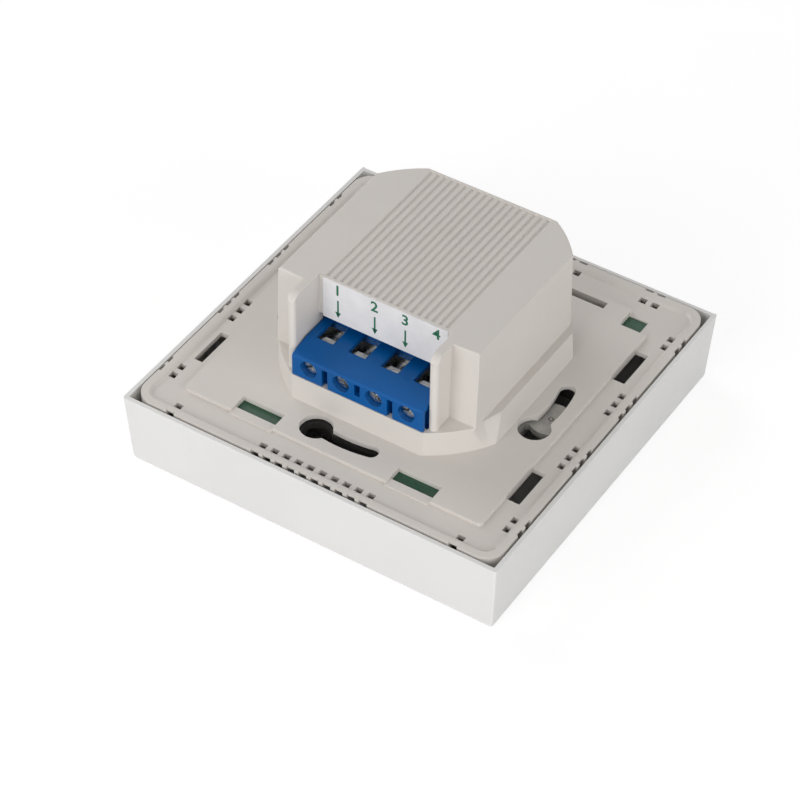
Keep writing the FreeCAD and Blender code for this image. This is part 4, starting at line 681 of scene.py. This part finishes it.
@dataclass
class RoundedNode:
    """A CAD node with its sharp edges broken, as a mould breaks them.

    Attributes:
        node: Name of the node that it stands for.
        slot: The record's material slot.
        body: Name of the body that it rides on.
        radius: Largest edge radius in metres.
        rule: Share of that radius for an edge at a place, zero to leave it sharp.
        segments: Facets over an edge.
        sharp: Least angle of an edge that is broken, in degrees.
        flat: Angle up to which neighbouring facets become one face, in degrees.
        merge: Distance within which corners are merged, in metres.
        room_share: Share of the room beside an edge that its rounding may take.
        crease: Angle in degrees over which two faces meet in a visible line.
    """

    node: str
    slot: Slot
    body: str
    radius: float = 0.2 * MM
    rule: Rule = field(default=lambda edge: 1.0)
    segments: int = 2
    sharp: float = 32.0
    flat: float = 0.4
    merge: float = 0.000003
    room_share: float = 0.8
    crease: float = 40.0

    def build(self, frame: dict, palette: Palette) -> Piece:
        """Copy the node, merge its loose triangles and round its edges.

        Args:
            frame: The loaded frame.
            palette: The finishes.

        Returns:
            The finished piece.
        """
        source = frame["nodes"][self.node]
        piece = bpy.data.objects.new(self.node + "_form", source.data.copy())
        bpy.context.scene.collection.objects.link(piece)
        Bench.take(piece)
        bpy.ops.mesh.customdata_custom_splitnormals_clear()
        with Bench.edit(piece):
            bpy.ops.mesh.select_all(action="SELECT")
            bpy.ops.mesh.remove_doubles(threshold=self.merge)
            bpy.ops.mesh.dissolve_limited(angle_limit=math.radians(self.flat))
        self.weigh(piece)
        plain = {"use_clamp_overlap": False, "miter_outer": "MITER_SHARP", "loop_slide": False}
        Bench.apply(piece, "BEVEL", width=self.radius, segments=self.segments, limit_method="WEIGHT", **plain)
        Bench.smooth(piece, self.crease)
        palette.dress(piece, self.slot)
        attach(piece, self.body)
        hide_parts(self.node)
        return piece

    @staticmethod
    def room(edge: bmesh.types.BMEdge) -> float:
        """Distance from an edge to the nearest other corner of its two faces."""
        first, last = (vertex.co for vertex in edge.verts)
        span = last - first
        nearest = math.inf
        for face in edge.link_faces:
            for vertex in face.verts:
                if vertex not in edge.verts:
                    share = max(0.0, min(1.0, (vertex.co - first).dot(span) / span.length_squared))
                    nearest = min(nearest, (vertex.co - first - span * share).length)
        return nearest

    def weigh(self, piece: Piece) -> None:
        """Give each sharp edge the share of the radius that its place asks for."""
        mesh = bmesh.new()
        mesh.from_mesh(piece.data)
        layers = mesh.edges.layers.float
        layer = layers.get("bevel_weight_edge") or layers.new("bevel_weight_edge")
        least = math.radians(self.sharp)
        for edge in mesh.edges:
            if len(edge.link_faces) == 2 and edge.calc_face_angle(0.0) > least:
                first, last = (vertex.co / MM for vertex in edge.verts)
                facts = SharpEdge((first + last) / 2, (last - first).normalized(), edge.is_convex)
                wanted = self.rule(facts)
                roomy = self.room(edge) * self.room_share > wanted * self.radius
                edge[layer] = wanted if roomy else 0.0
        mesh.to_mesh(piece.data)
        mesh.free()


@dataclass
class CarriedNode:
    """A CAD node whose shape stays as it is and gets its finish.

    Attributes:
        node: Name of the node.
        slot: The record's material slot.
        material: A finish in place of the slot's own.
    """

    node: str
    slot: Slot
    material: Material | None = None

    def build(self, frame: dict, palette: Palette) -> Piece:
        """Dress the node and return it."""
        piece = frame["nodes"][self.node]
        palette.dress(piece, self.slot, self.material)
        return piece


@dataclass
class RearHousing:
    """Moulded rear housing: base plate, collar and power box.

    The places that the rules compare are in millimetres.

    Attributes:
        edge: Edge radius of the power box, in metres.
        slack: How far an edge may lie off a height that a rule names.
        steepest: Upward share of an edge's direction up to which it counts as level.
        platform_top: Height of the raised platform.
        platform_step: Height over that up to which its rims lie.
        platform_reach: Distance from the middle within which the platform's rims are broken.
        deck_top: Height of the collar's deck.
        groove_floor: Lowest height that the grooves of the box reach.
        groove_reach: Distance of the outer grooves from the middle.
        recess_line: Distance of the terminals' recess in front of the middle.
        fin_outside: Distance of the fins' outer faces from the middle, with a margin.
        groove_share: Share of the radius along the grooves.
        rim_share: Share of it along the platform's rims.
        inner_share: Share of it in inner corners.
    """

    edge: float = 0.4 * MM
    slack: float = 0.1
    steepest: float = 0.5
    platform_top: float = 17.1
    platform_step: float = 0.3
    platform_reach: float = 25.5
    deck_top: float = 23.0
    groove_floor: float = 41.0
    groove_reach: float = 14.8
    recess_line: float = 15.0
    fin_outside: float = 17.55
    groove_share: float = 0.2
    rim_share: float = 0.4
    inner_share: float = 0.5

    def rule(self, edge: SharpEdge) -> float:
        """Share of the edge radius at an edge: the recess, its fins and the collar stay sharp."""
        place = edge.place
        if place.z < self.deck_top + self.slack:
            return self.rim_share if self.on_rim(edge) else 0.0
        if place.z > self.groove_floor and abs(place.x) < self.groove_reach:
            return self.groove_share
        if place.y < -self.recess_line and abs(place.x) < self.fin_outside:
            return 0.0
        return 1.0 if edge.proud else self.inner_share

    def on_rim(self, edge: SharpEdge) -> bool:
        """Whether an edge is a rim of the platform, away from the lip's and the windows' small holes."""
        level = edge.proud and abs(edge.along.z) < self.steepest
        high = -self.slack < edge.place.z - self.platform_top < self.platform_step
        return level and high and max(abs(edge.place.x), abs(edge.place.y)) < self.platform_reach

    def build(self, frame: dict, palette: Palette) -> list[Piece]:
        """Build the housing and return it."""
        form = RoundedNode("rear_housing", Slot.GREY, Body.HOUSING.of(), self.edge, self.rule, 3)
        return [form.build(frame, palette)]


@dataclass
class FrontCover:
    """Snap-on front cover and its light window.

    Attributes:
        edge: Edge radius of the rim and the outer corners, in metres.
        outside: Distance from the middle, in millimetres, past which an edge is an outer one.
        inner_share: Share of the radius along the other edges.
    """

    edge: float = 0.3 * MM
    outside: float = 41.0
    inner_share: float = 0.4

    def build(self, frame: dict, palette: Palette) -> list[Piece]:
        """Build the cover, dress its window and return both."""
        form = RoundedNode("front_cover", Slot.WHITE, Body.COVER.of(), self.edge, self.rule, 3)
        window = CarriedNode("light_window", Slot.WINDOW)
        return [form.build(frame, palette), window.build(frame, palette)]

    def rule(self, edge: SharpEdge) -> float:
        """Share of the edge radius at an edge: the rim and the outer corners are softest."""
        reach = max(abs(edge.place.x), abs(edge.place.y))
        return 1.0 if reach > self.outside else self.inner_share


@dataclass
class TerminalScrew:
    """Combination-head clamp screw, modelled upright and then laid into its pole.

    Attributes:
        pole: Number of the pole, from one.
        x: Place along the row, in metres.
        turn: How far the screw was turned when the photograph was taken, in degrees.
        head_radius: Radius of the head.
        head_height: Height of the head.
        head_round: Radius of the head's edge.
        cut_round: Radius of the edges of slot and cross.
        slot_width: Width of the slot and of the cross.
        slot_depth: Depth of both.
        cross_share: Share of the head's radius that the cross reaches.
        cross_taper: Share of its size that the cross keeps at its floor.
        shank_radius: Radius over the thread.
        seat: Distance of the head's seat in front of the middle.
        length: Length of the shank.
        height: Height of the axis.
        pitch: Pitch of the thread.
        thread_depth: Depth of the thread.
        ridge: Radius of the circle round the thread's three-cornered section.
        tip_round: Radius of the tip's edge.
        tip_bare: Length of the tip that has no thread.
        neck_bare: The same under the head.
    """

    pole: int
    x: float
    turn: float
    head_radius: float = 1.74 * MM
    head_height: float = 2.2 * MM
    head_round: float = 0.26 * MM
    cut_round: float = 0.05 * MM
    slot_width: float = 0.52 * MM
    slot_depth: float = 0.85 * MM
    cross_share: float = 0.62
    cross_taper: float = 0.82
    shank_radius: float = 1.1 * MM
    seat: float = 22.4 * MM
    length: float = 9.8 * MM
    height: float = 25.95 * MM
    pitch: float = 0.5 * MM
    thread_depth: float = 0.27 * MM
    ridge: float = 0.19 * MM
    tip_round: float = 0.3 * MM
    tip_bare: float = 0.45 * MM
    neck_bare: float = 0.3 * MM

    def head(self) -> Piece:
        """Turn the head: a domed edge round a flat, with a slot and a cross recess."""
        middle = (0, 0, self.head_height / 2)
        bpy.ops.mesh.primitive_cylinder_add(
            vertices=64, radius=self.head_radius, depth=self.head_height, location=middle
        )
        head = Bench.added("screw_head")
        with Bench.edit(head):
            Bench.pick_end(head, 1.0)
            bpy.ops.mesh.bevel(offset=self.head_round, segments=5, affect="EDGES")
        for reach, turn, taper in ((1.1, 0.0, 1.0), (self.cross_share, 90.0, self.cross_taper)):
            bpy.ops.mesh.primitive_cube_add(size=1, location=(0, 0, self.head_height))
            blade = Bench.added("screwdriver_blade")
            blade.scale = (2 * self.head_radius * reach, self.slot_width, 2 * self.slot_depth)
            blade.rotation_euler = (0, 0, math.radians(turn))
            Bench.settle(blade)
            with Bench.edit(blade):
                Bench.pick_end(blade, -1.0)
                bpy.ops.transform.resize(value=(taper, taper, 1.0))
            Bench.carve(head, blade)
        Bench.ease(head, self.cut_round)
        return head

    def shank(self) -> Piece:
        """Roll the thread: a core and a ridge that climbs round it."""
        core = self.shank_radius - self.thread_depth
        bpy.ops.mesh.primitive_cylinder_add(
            vertices=40, radius=core, depth=self.length, location=(0, 0, -self.length / 2)
        )
        shaft = Bench.added("screw_shaft")
        with Bench.edit(shaft):
            Bench.pick_end(shaft, -1.0)
            bpy.ops.mesh.bevel(offset=self.tip_round, segments=2, affect="EDGES")
        bpy.ops.mesh.primitive_circle_add(
            vertices=3,
            radius=self.ridge,
            fill_type="NOTHING",
            location=(core + self.thread_depth / 3, 0, self.tip_bare - self.length),
            rotation=(math.radians(90), 0, 0),
        )
        ridge = Bench.added("screw_thread")
        with Bench.edit(ridge):
            bpy.ops.mesh.select_all(action="SELECT")
            bpy.ops.transform.rotate(value=math.radians(-90), orient_axis="Y", center_override=ridge.location)
        Bench.settle(ridge)
        turns = int((self.length - self.tip_bare - self.neck_bare) / self.pitch)
        climb = {"angle": math.tau, "screw_offset": self.pitch, "iterations": turns}
        Bench.apply(ridge, "SCREW", axis="Z", steps=32, render_steps=32, **climb)
        with Bench.edit(ridge):
            bpy.ops.mesh.select_mode(type="EDGE")
            bpy.ops.mesh.select_non_manifold()
            bpy.ops.mesh.edge_face_add()
            bpy.ops.mesh.select_all(action="SELECT")
            bpy.ops.mesh.normals_make_consistent(inside=False)
        return Bench.gather("screw_shank", [shaft, ridge])

    def build(self, palette: Palette) -> Piece:
        """Join head and shank, lay the screw in its pole and return it."""
        screw = Bench.gather(f"terminal_screw_{self.pole}_form", [self.head(), self.shank()])
        place = Matrix.Translation((self.x, -self.seat, self.height))
        lay = Matrix.Rotation(math.radians(90), 4, "X")
        screw.matrix_world = place @ lay @ Matrix.Rotation(math.radians(self.turn), 4, "Z")
        Bench.settle(screw)
        Bench.smooth(screw, 35.0)
        palette.dress(screw, Slot.STEEL)
        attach(screw, Body.SCREW.of(self.pole))
        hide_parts(f"terminal_screw_{self.pole}")
        return screw


@dataclass
class TerminalBlock:
    """Blue terminal block with its clamps, screws and contact strips.

    Attributes:
        pitch: Distance between poles, in metres.
        turns: How far each screw is turned, in degrees, from the left pole.
        edge: Edge radius of the moulding.
        half_width: Half the width of the block.
        back: Distance of the block's back from the middle.
        top: Height of the block's top.
        upstand_top: Height of the wall along its back.
        upstand_wall: Thickness of that wall.
        upstand_root: Depth of its foot in the block.
    """

    pitch: float = 7.5 * MM
    turns: tuple[float, ...] = (28.0, -52.0, -40.0, 12.0)
    edge: float = 0.14 * MM
    half_width: float = 14.7 * MM
    back: float = 11.3 * MM
    top: float = 29.3 * MM
    upstand_top: float = 32.6 * MM
    upstand_wall: float = 0.9 * MM
    upstand_root: float = 0.3 * MM

    def upstand(self, palette: Palette) -> Piece:
        """Raise the wall along the block's back, which closes the box's opening under the label."""
        foot = self.top - self.upstand_root
        bpy.ops.mesh.primitive_cube_add(
            size=1, location=(0, -self.back - self.upstand_wall / 2, (foot + self.upstand_top) / 2)
        )
        wall = Bench.added("terminal_block_upstand")
        wall.scale = (2 * self.half_width, self.upstand_wall, self.upstand_top - foot)
        Bench.settle(wall)
        Bench.ease(wall, self.edge)
        Bench.smooth(wall)
        palette.dress(wall, Slot.BLUE)
        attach(wall, Body.HOUSING.of())
        return wall

    def pole(self, number: int) -> float:
        """Place of a pole along the row, in metres."""
        return self.pitch * (number - (len(self.turns) + 1) / 2)

    def build(self, frame: dict, palette: Palette) -> list[Piece]:
        """Build the block and all it holds, and return the pieces."""
        block = RoundedNode("terminal_block_body", Slot.BLUE, Body.HOUSING.of(), self.edge, crease=14.0)
        pieces = [block.build(frame, palette), self.upstand(palette)]
        for number, turn in enumerate(self.turns, start=1):
            pieces.append(TerminalScrew(number, self.pole(number), turn).build(palette))
            pieces.append(CarriedNode(f"clamp_cage_{number}", Slot.STEEL).build(frame, palette))
        pieces.append(CarriedNode("terminal_contacts", Slot.TINNED).build(frame, palette))
        return pieces


@dataclass
class TerminalLabel:
    """Paper label over the terminals, printed with the poles' numbers and arrows.

    Attributes:
        face: Distance of the paper's front face from the middle, in metres.
        middles: Middle of each pole's print, in metres.
        number_height: Height of the digits' middle.
        digit: Size of the digits.
        boldness: Width that the digits' strokes gain on each side.
        arrow_tops: Height of each arrow's tail; the last one starts lower.
        arrow_tip: Height of the arrows' tips.
        arrow_shift: Distance of an arrow to the right of its digit.
        shaft: Width of an arrow's shaft.
        barb: Radius of the circle round an arrow's head.
        barb_shape: Width and length of the head, as shares of an even-sided one.
        barb_rise: Height of its middle over the tip.
        lap: Length of the shaft that the head covers.
        ink: Thickness of the print.
    """

    face: float = 14.95 * MM
    middles: tuple[float, ...] = (-10.85 * MM, -2.35 * MM, 4.65 * MM, 11.75 * MM)
    number_height: float = 39.3 * MM
    digit: float = 3.5 * MM
    boldness: float = 0.07 * MM
    arrow_tops: tuple[float, ...] = (36.9 * MM, 36.9 * MM, 36.9 * MM, 35.3 * MM)
    arrow_tip: float = 32.5 * MM
    arrow_shift: float = 0.1 * MM
    shaft: float = 0.38 * MM
    barb: float = 0.82 * MM
    barb_shape: tuple[float, float] = (0.92, 1.15)
    barb_rise: float = 0.9 * MM
    lap: float = 0.5 * MM
    ink: float = 0.012 * MM

    def upright(self, piece: Piece, x: float, z: float) -> Piece:
        """Stand a flat print up on the label.

        Args:
            piece: Print lying on the ground at the origin.
            x: Place along the row.
            z: Height.

        Returns:
            The print in place.
        """
        turned = Matrix.Rotation(math.radians(90), 4, "X")
        piece.matrix_world = Matrix.Translation((x, -self.face - self.ink, z)) @ turned
        return Bench.settle(piece)

    def number(self, text: str, x: float) -> Piece:
        """Print one digit."""
        Bench.clear()
        bpy.ops.object.text_add(location=(0, 0, 0))
        piece = bpy.context.active_object
        piece.data.body = text
        piece.data.size = self.digit
        piece.data.align_x = "CENTER"
        piece.data.align_y = "CENTER"
        piece.data.offset = self.boldness
        piece.data.extrude = self.ink
        piece.data.resolution_u = 6
        Bench.take(piece)
        bpy.ops.object.convert(target="MESH")
        return self.upright(Bench.added("digit_" + text), x, self.number_height)

    def arrow(self, number: int, x: float) -> Piece:
        """Print one arrow that points down: a slim shaft with a barbed head."""
        length = self.arrow_tops[number - 1] - self.arrow_tip
        bpy.ops.mesh.primitive_plane_add(size=1, location=(0, 0, 0))
        piece = Bench.added(f"arrow_{number}")
        piece.scale = (self.shaft, length - self.lap, 1)
        piece.location = (0, self.lap / 2, 0)
        Bench.settle(piece)
        bpy.ops.mesh.primitive_circle_add(vertices=3, radius=self.barb, fill_type="NGON", location=(0, 0, 0))
        head = Bench.added("barb")
        head.rotation_euler = (0, 0, math.radians(180))
        head.scale = (*self.barb_shape, 1)
        head.location = (0, self.barb_rise - length / 2, 0.00001 * MM)
        Bench.settle(head)
        piece = Bench.gather(f"arrow_{number}", [piece, head])
        Bench.apply(piece, "SOLIDIFY", thickness=self.ink, offset=1.0)
        return self.upright(piece, x, self.arrow_tip + length / 2)

    def build(self, frame: dict, palette: Palette) -> list[Piece]:
        """Dress the paper, print it and return both."""
        paper = CarriedNode("terminal_label", Slot.LABEL).build(frame, palette)
        prints = []
        for number, x in enumerate(self.middles, start=1):
            prints.append(self.number(str(number), x))
            prints.append(self.arrow(number, x + self.arrow_shift))
        made = Bench.gather("label_print", prints)
        palette.dress(made, Slot.LABEL, palette.ink)
        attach(made, Body.HOUSING.of())
        return [paper, made]


@dataclass
class SettingKnob:
    """Fluted setting knob on its trimmer.

    Attributes:
        body: The knob's body, which has the name of its node.
        edge: Edge radius of knob and trimmer.
    """

    body: Body
    edge: float = 0.12 * MM

    def build(self, frame: dict, palette: Palette) -> list[Piece]:
        """Build the trimmer and its knob, and return both."""
        knob = self.body.of()
        parts = (
            RoundedNode(knob.replace("_knob", "_adjuster"), Slot.TRIMMER, Body.HOUSING.of(), self.edge),
            RoundedNode(knob, Slot.KNOB, knob, self.edge),
        )
        return [part.build(frame, palette) for part in parts]


class Electronics:
    """Boards, carrier and components inside the housing."""

    CARRIED = {
        Slot.BOARD: ("sensor_board", "power_board", "module_board"),
        Slot.FILM: ("suppression_capacitor",),
        Slot.RELAY: ("relay",),
        Slot.SLEEVE: ("bulk_capacitor", "output_capacitor"),
        Slot.FERRITE: ("buck_inductor",),
        Slot.DISC: ("varistor",),
        Slot.RESISTOR: ("fuse_resistor",),
        Slot.BLACK: ("rectifier", "power_chip", "controller_chip", "board_header", "module_header"),
        Slot.COPPER: ("antenna_patch",),
        Slot.LENS: ("light_sensor", "status_lamp"),
        Slot.STEEL: ("power_board_screws",),
    }

    def build(self, frame: dict, palette: Palette) -> list[Piece]:
        """Dress what the housing holds and return the pieces."""
        parts = [CarriedNode(node, slot) for slot, nodes in self.CARRIED.items() for node in nodes]
        # The carrier takes the finish with painted shade and a patch of painted light.
        parts.append(CarriedNode("carrier_frame", Slot.GREY, palette.carrier))
        parts.append(RoundedNode("carrier_screws", Slot.STEEL, Body.HOUSING.of(), 0.08 * MM))
        parts.append(RoundedNode("module_screen", Slot.TIN, Body.HOUSING.of(), 0.06 * MM))
        return [part.build(frame, palette) for part in parts]


@dataclass
class CameraRig:
    """Camera of the photograph, recovered from the object's own edges.

    Attributes:
        azimuth: Degrees round the object from the front.
        elevation: Degrees above the horizon.
        roll: Turn about the line of sight, in degrees.
        right: Place of the origin to the right of the view's middle, in metres.
        up: Place of the origin above the view's middle, in metres.
        distance: Distance from the origin along the line of sight, in metres.
        lens: Focal length in millimetres on a sensor 36 wide.
    """

    azimuth: float = 32.308
    elevation: float = 43.469
    roll: float = 0.755
    right: float = 4.792 * MM
    up: float = -3.098 * MM
    distance: float = 610.69 * MM
    lens: float = 135.1

    def build(self) -> None:
        """Create the camera and make it the scene's."""
        a, e, r = (math.radians(v) for v in (self.azimuth, self.elevation, self.roll))
        side = Vector((math.cos(a), math.sin(a), 0))
        head = Vector((-math.sin(a) * math.sin(e), math.cos(a) * math.sin(e), math.cos(e)))
        back = direction(a, e)
        across = math.cos(r) * side + math.sin(r) * head
        upward = math.cos(r) * head - math.sin(r) * side
        place = back * self.distance - across * self.right - upward * self.up
        data = bpy.data.cameras.new("camera")
        data.lens = self.lens
        data.sensor_width = 36.0
        data.clip_start = 0.01
        data.clip_end = 20.0
        camera = bpy.data.objects.new("camera", data)
        camera.matrix_world = Matrix.Translation(place) @ Matrix((across, upward, back)).transposed().to_4x4()
        bpy.context.scene.collection.objects.link(camera)
        bpy.context.scene.camera = camera


@dataclass
class SoftLamp:
    """Large soft box aimed at the object.

    Attributes:
        name: Name of the lamp.
        azimuth: Degrees round the object from the front.
        elevation: Degrees above the horizon.
        level: Share of full white that it gives a facing white surface.
        side: Edge of the square lamp, in metres.
        distance: Distance from the object, in metres.
    """

    name: str
    azimuth: float
    elevation: float
    level: float
    side: float = 0.7
    distance: float = 1.0

    def build(self) -> None:
        """Create the lamp."""
        away = direction(math.radians(self.azimuth), math.radians(self.elevation))
        data = bpy.data.lights.new(self.name, "AREA")
        data.shape = "SQUARE"
        data.size = self.side
        data.energy = self.level * math.pi**2 * self.distance**2
        lamp = bpy.data.objects.new(self.name, data)
        lamp.location = away * self.distance + Vector((0, 0, 0.02))
        lamp.rotation_mode = "QUATERNION"
        lamp.rotation_quaternion = away.to_track_quat("Z", "Y")
        bpy.context.scene.collection.objects.link(lamp)


@dataclass
class Studio:
    """White floor, pale surroundings and soft lamps.

    Attributes:
        ambient: Level of the light from all round.
        floor_glow: Level that the floor adds for the camera.
        floor_share: Share of the floor's own shading that the camera sees.
        reach: Half side of the floor, in metres.
        drop: Gap between the floor and the object, in metres.
    """

    ambient: float = 0.4
    floor_glow: float = 0.72
    floor_share: float = 0.42
    reach: float = 3.0
    drop: float = 0.00002

    def world(self) -> None:
        """Light the surroundings evenly, white where the camera or a gloss looks at them."""
        world = bpy.data.worlds.new("studio")
        bpy.context.scene.world = world
        world.use_nodes = True
        sky = Nodes(world.node_tree)
        rays = sky.node("LightPath").outputs
        shown = rays["Is Camera Ray"]
        for ray in ("Is Transmission Ray", "Is Glossy Ray"):
            shown = sky.node("Math", {0: shown, 1: rays[ray]}, operation="MAXIMUM").outputs[0]
        dim, bright = (
            sky.node("Background", {"Color": WHITE_LIGHT, "Strength": level}).outputs[0]
            for level in (self.ambient, 1.0)
        )
        sky.node("OutputWorld", {"Surface": sky.either(dim, bright, shown)})

    def floor(self) -> None:
        """Lay the floor: white to the camera, but it keeps the object's shadow."""
        Bench.clear()
        bpy.ops.mesh.primitive_plane_add(size=2 * self.reach, location=(0, 0, -self.drop))
        floor = Bench.added("floor")
        Bench.settle(floor)
        s = Shader("paper_floor")
        s.tree.nodes.remove(s.surface)
        paper = s.ramp(s.noise(30.0), [(0.3, (0.955, 0.955, 0.955)), (0.7, (0.965, 0.965, 0.965))])
        matt = s.node("BsdfDiffuse", {"Color": paper}).outputs[0]
        own = 1 - self.floor_share
        glow = s.node("Emission", {"Color": WHITE_LIGHT, "Strength": self.floor_glow / own}).outputs[0]
        seen = s.either(matt, glow, own)
        last = s.either(matt, seen, s.node("LightPath").outputs["Is Camera Ray"])
        s.join(last, s.output.inputs["Surface"])
        floor.data.materials.append(s.material)

    def build(self) -> None:
        """Set up surroundings, floor and lamps."""
        self.world()
        self.floor()
        lamps = (
            SoftLamp("front_box", -8.0, 20.0, 0.48),
            SoftLamp("right_box", 72.0, 13.0, 0.43),
            SoftLamp("left_box", 250.0, 36.0, 0.28),
        )
        for lamp in lamps:
            lamp.build()
        bpy.context.scene.view_settings.view_transform = "Standard"


def main() -> None:
    """Build the sensor's looks, the studio and the camera."""
    logging.basicConfig(level=logging.INFO, format="%(message)s")
    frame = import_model()
    palette = Palette()
    builders = (
        RearHousing(),
        FrontCover(),
        TerminalBlock(),
        TerminalLabel(),
        SettingKnob(Body.SENSITIVITY),
        SettingKnob(Body.TIME),
        SettingKnob(Body.DAYLIGHT),
        Electronics(),
    )
    for builder in builders:
        for piece in builder.build(frame, palette):
            log.info("%s: %d faces", piece.name, len(piece.data.polygons))
    Studio().build()
    CameraRig().build()


if __name__ == "__main__":
    main()
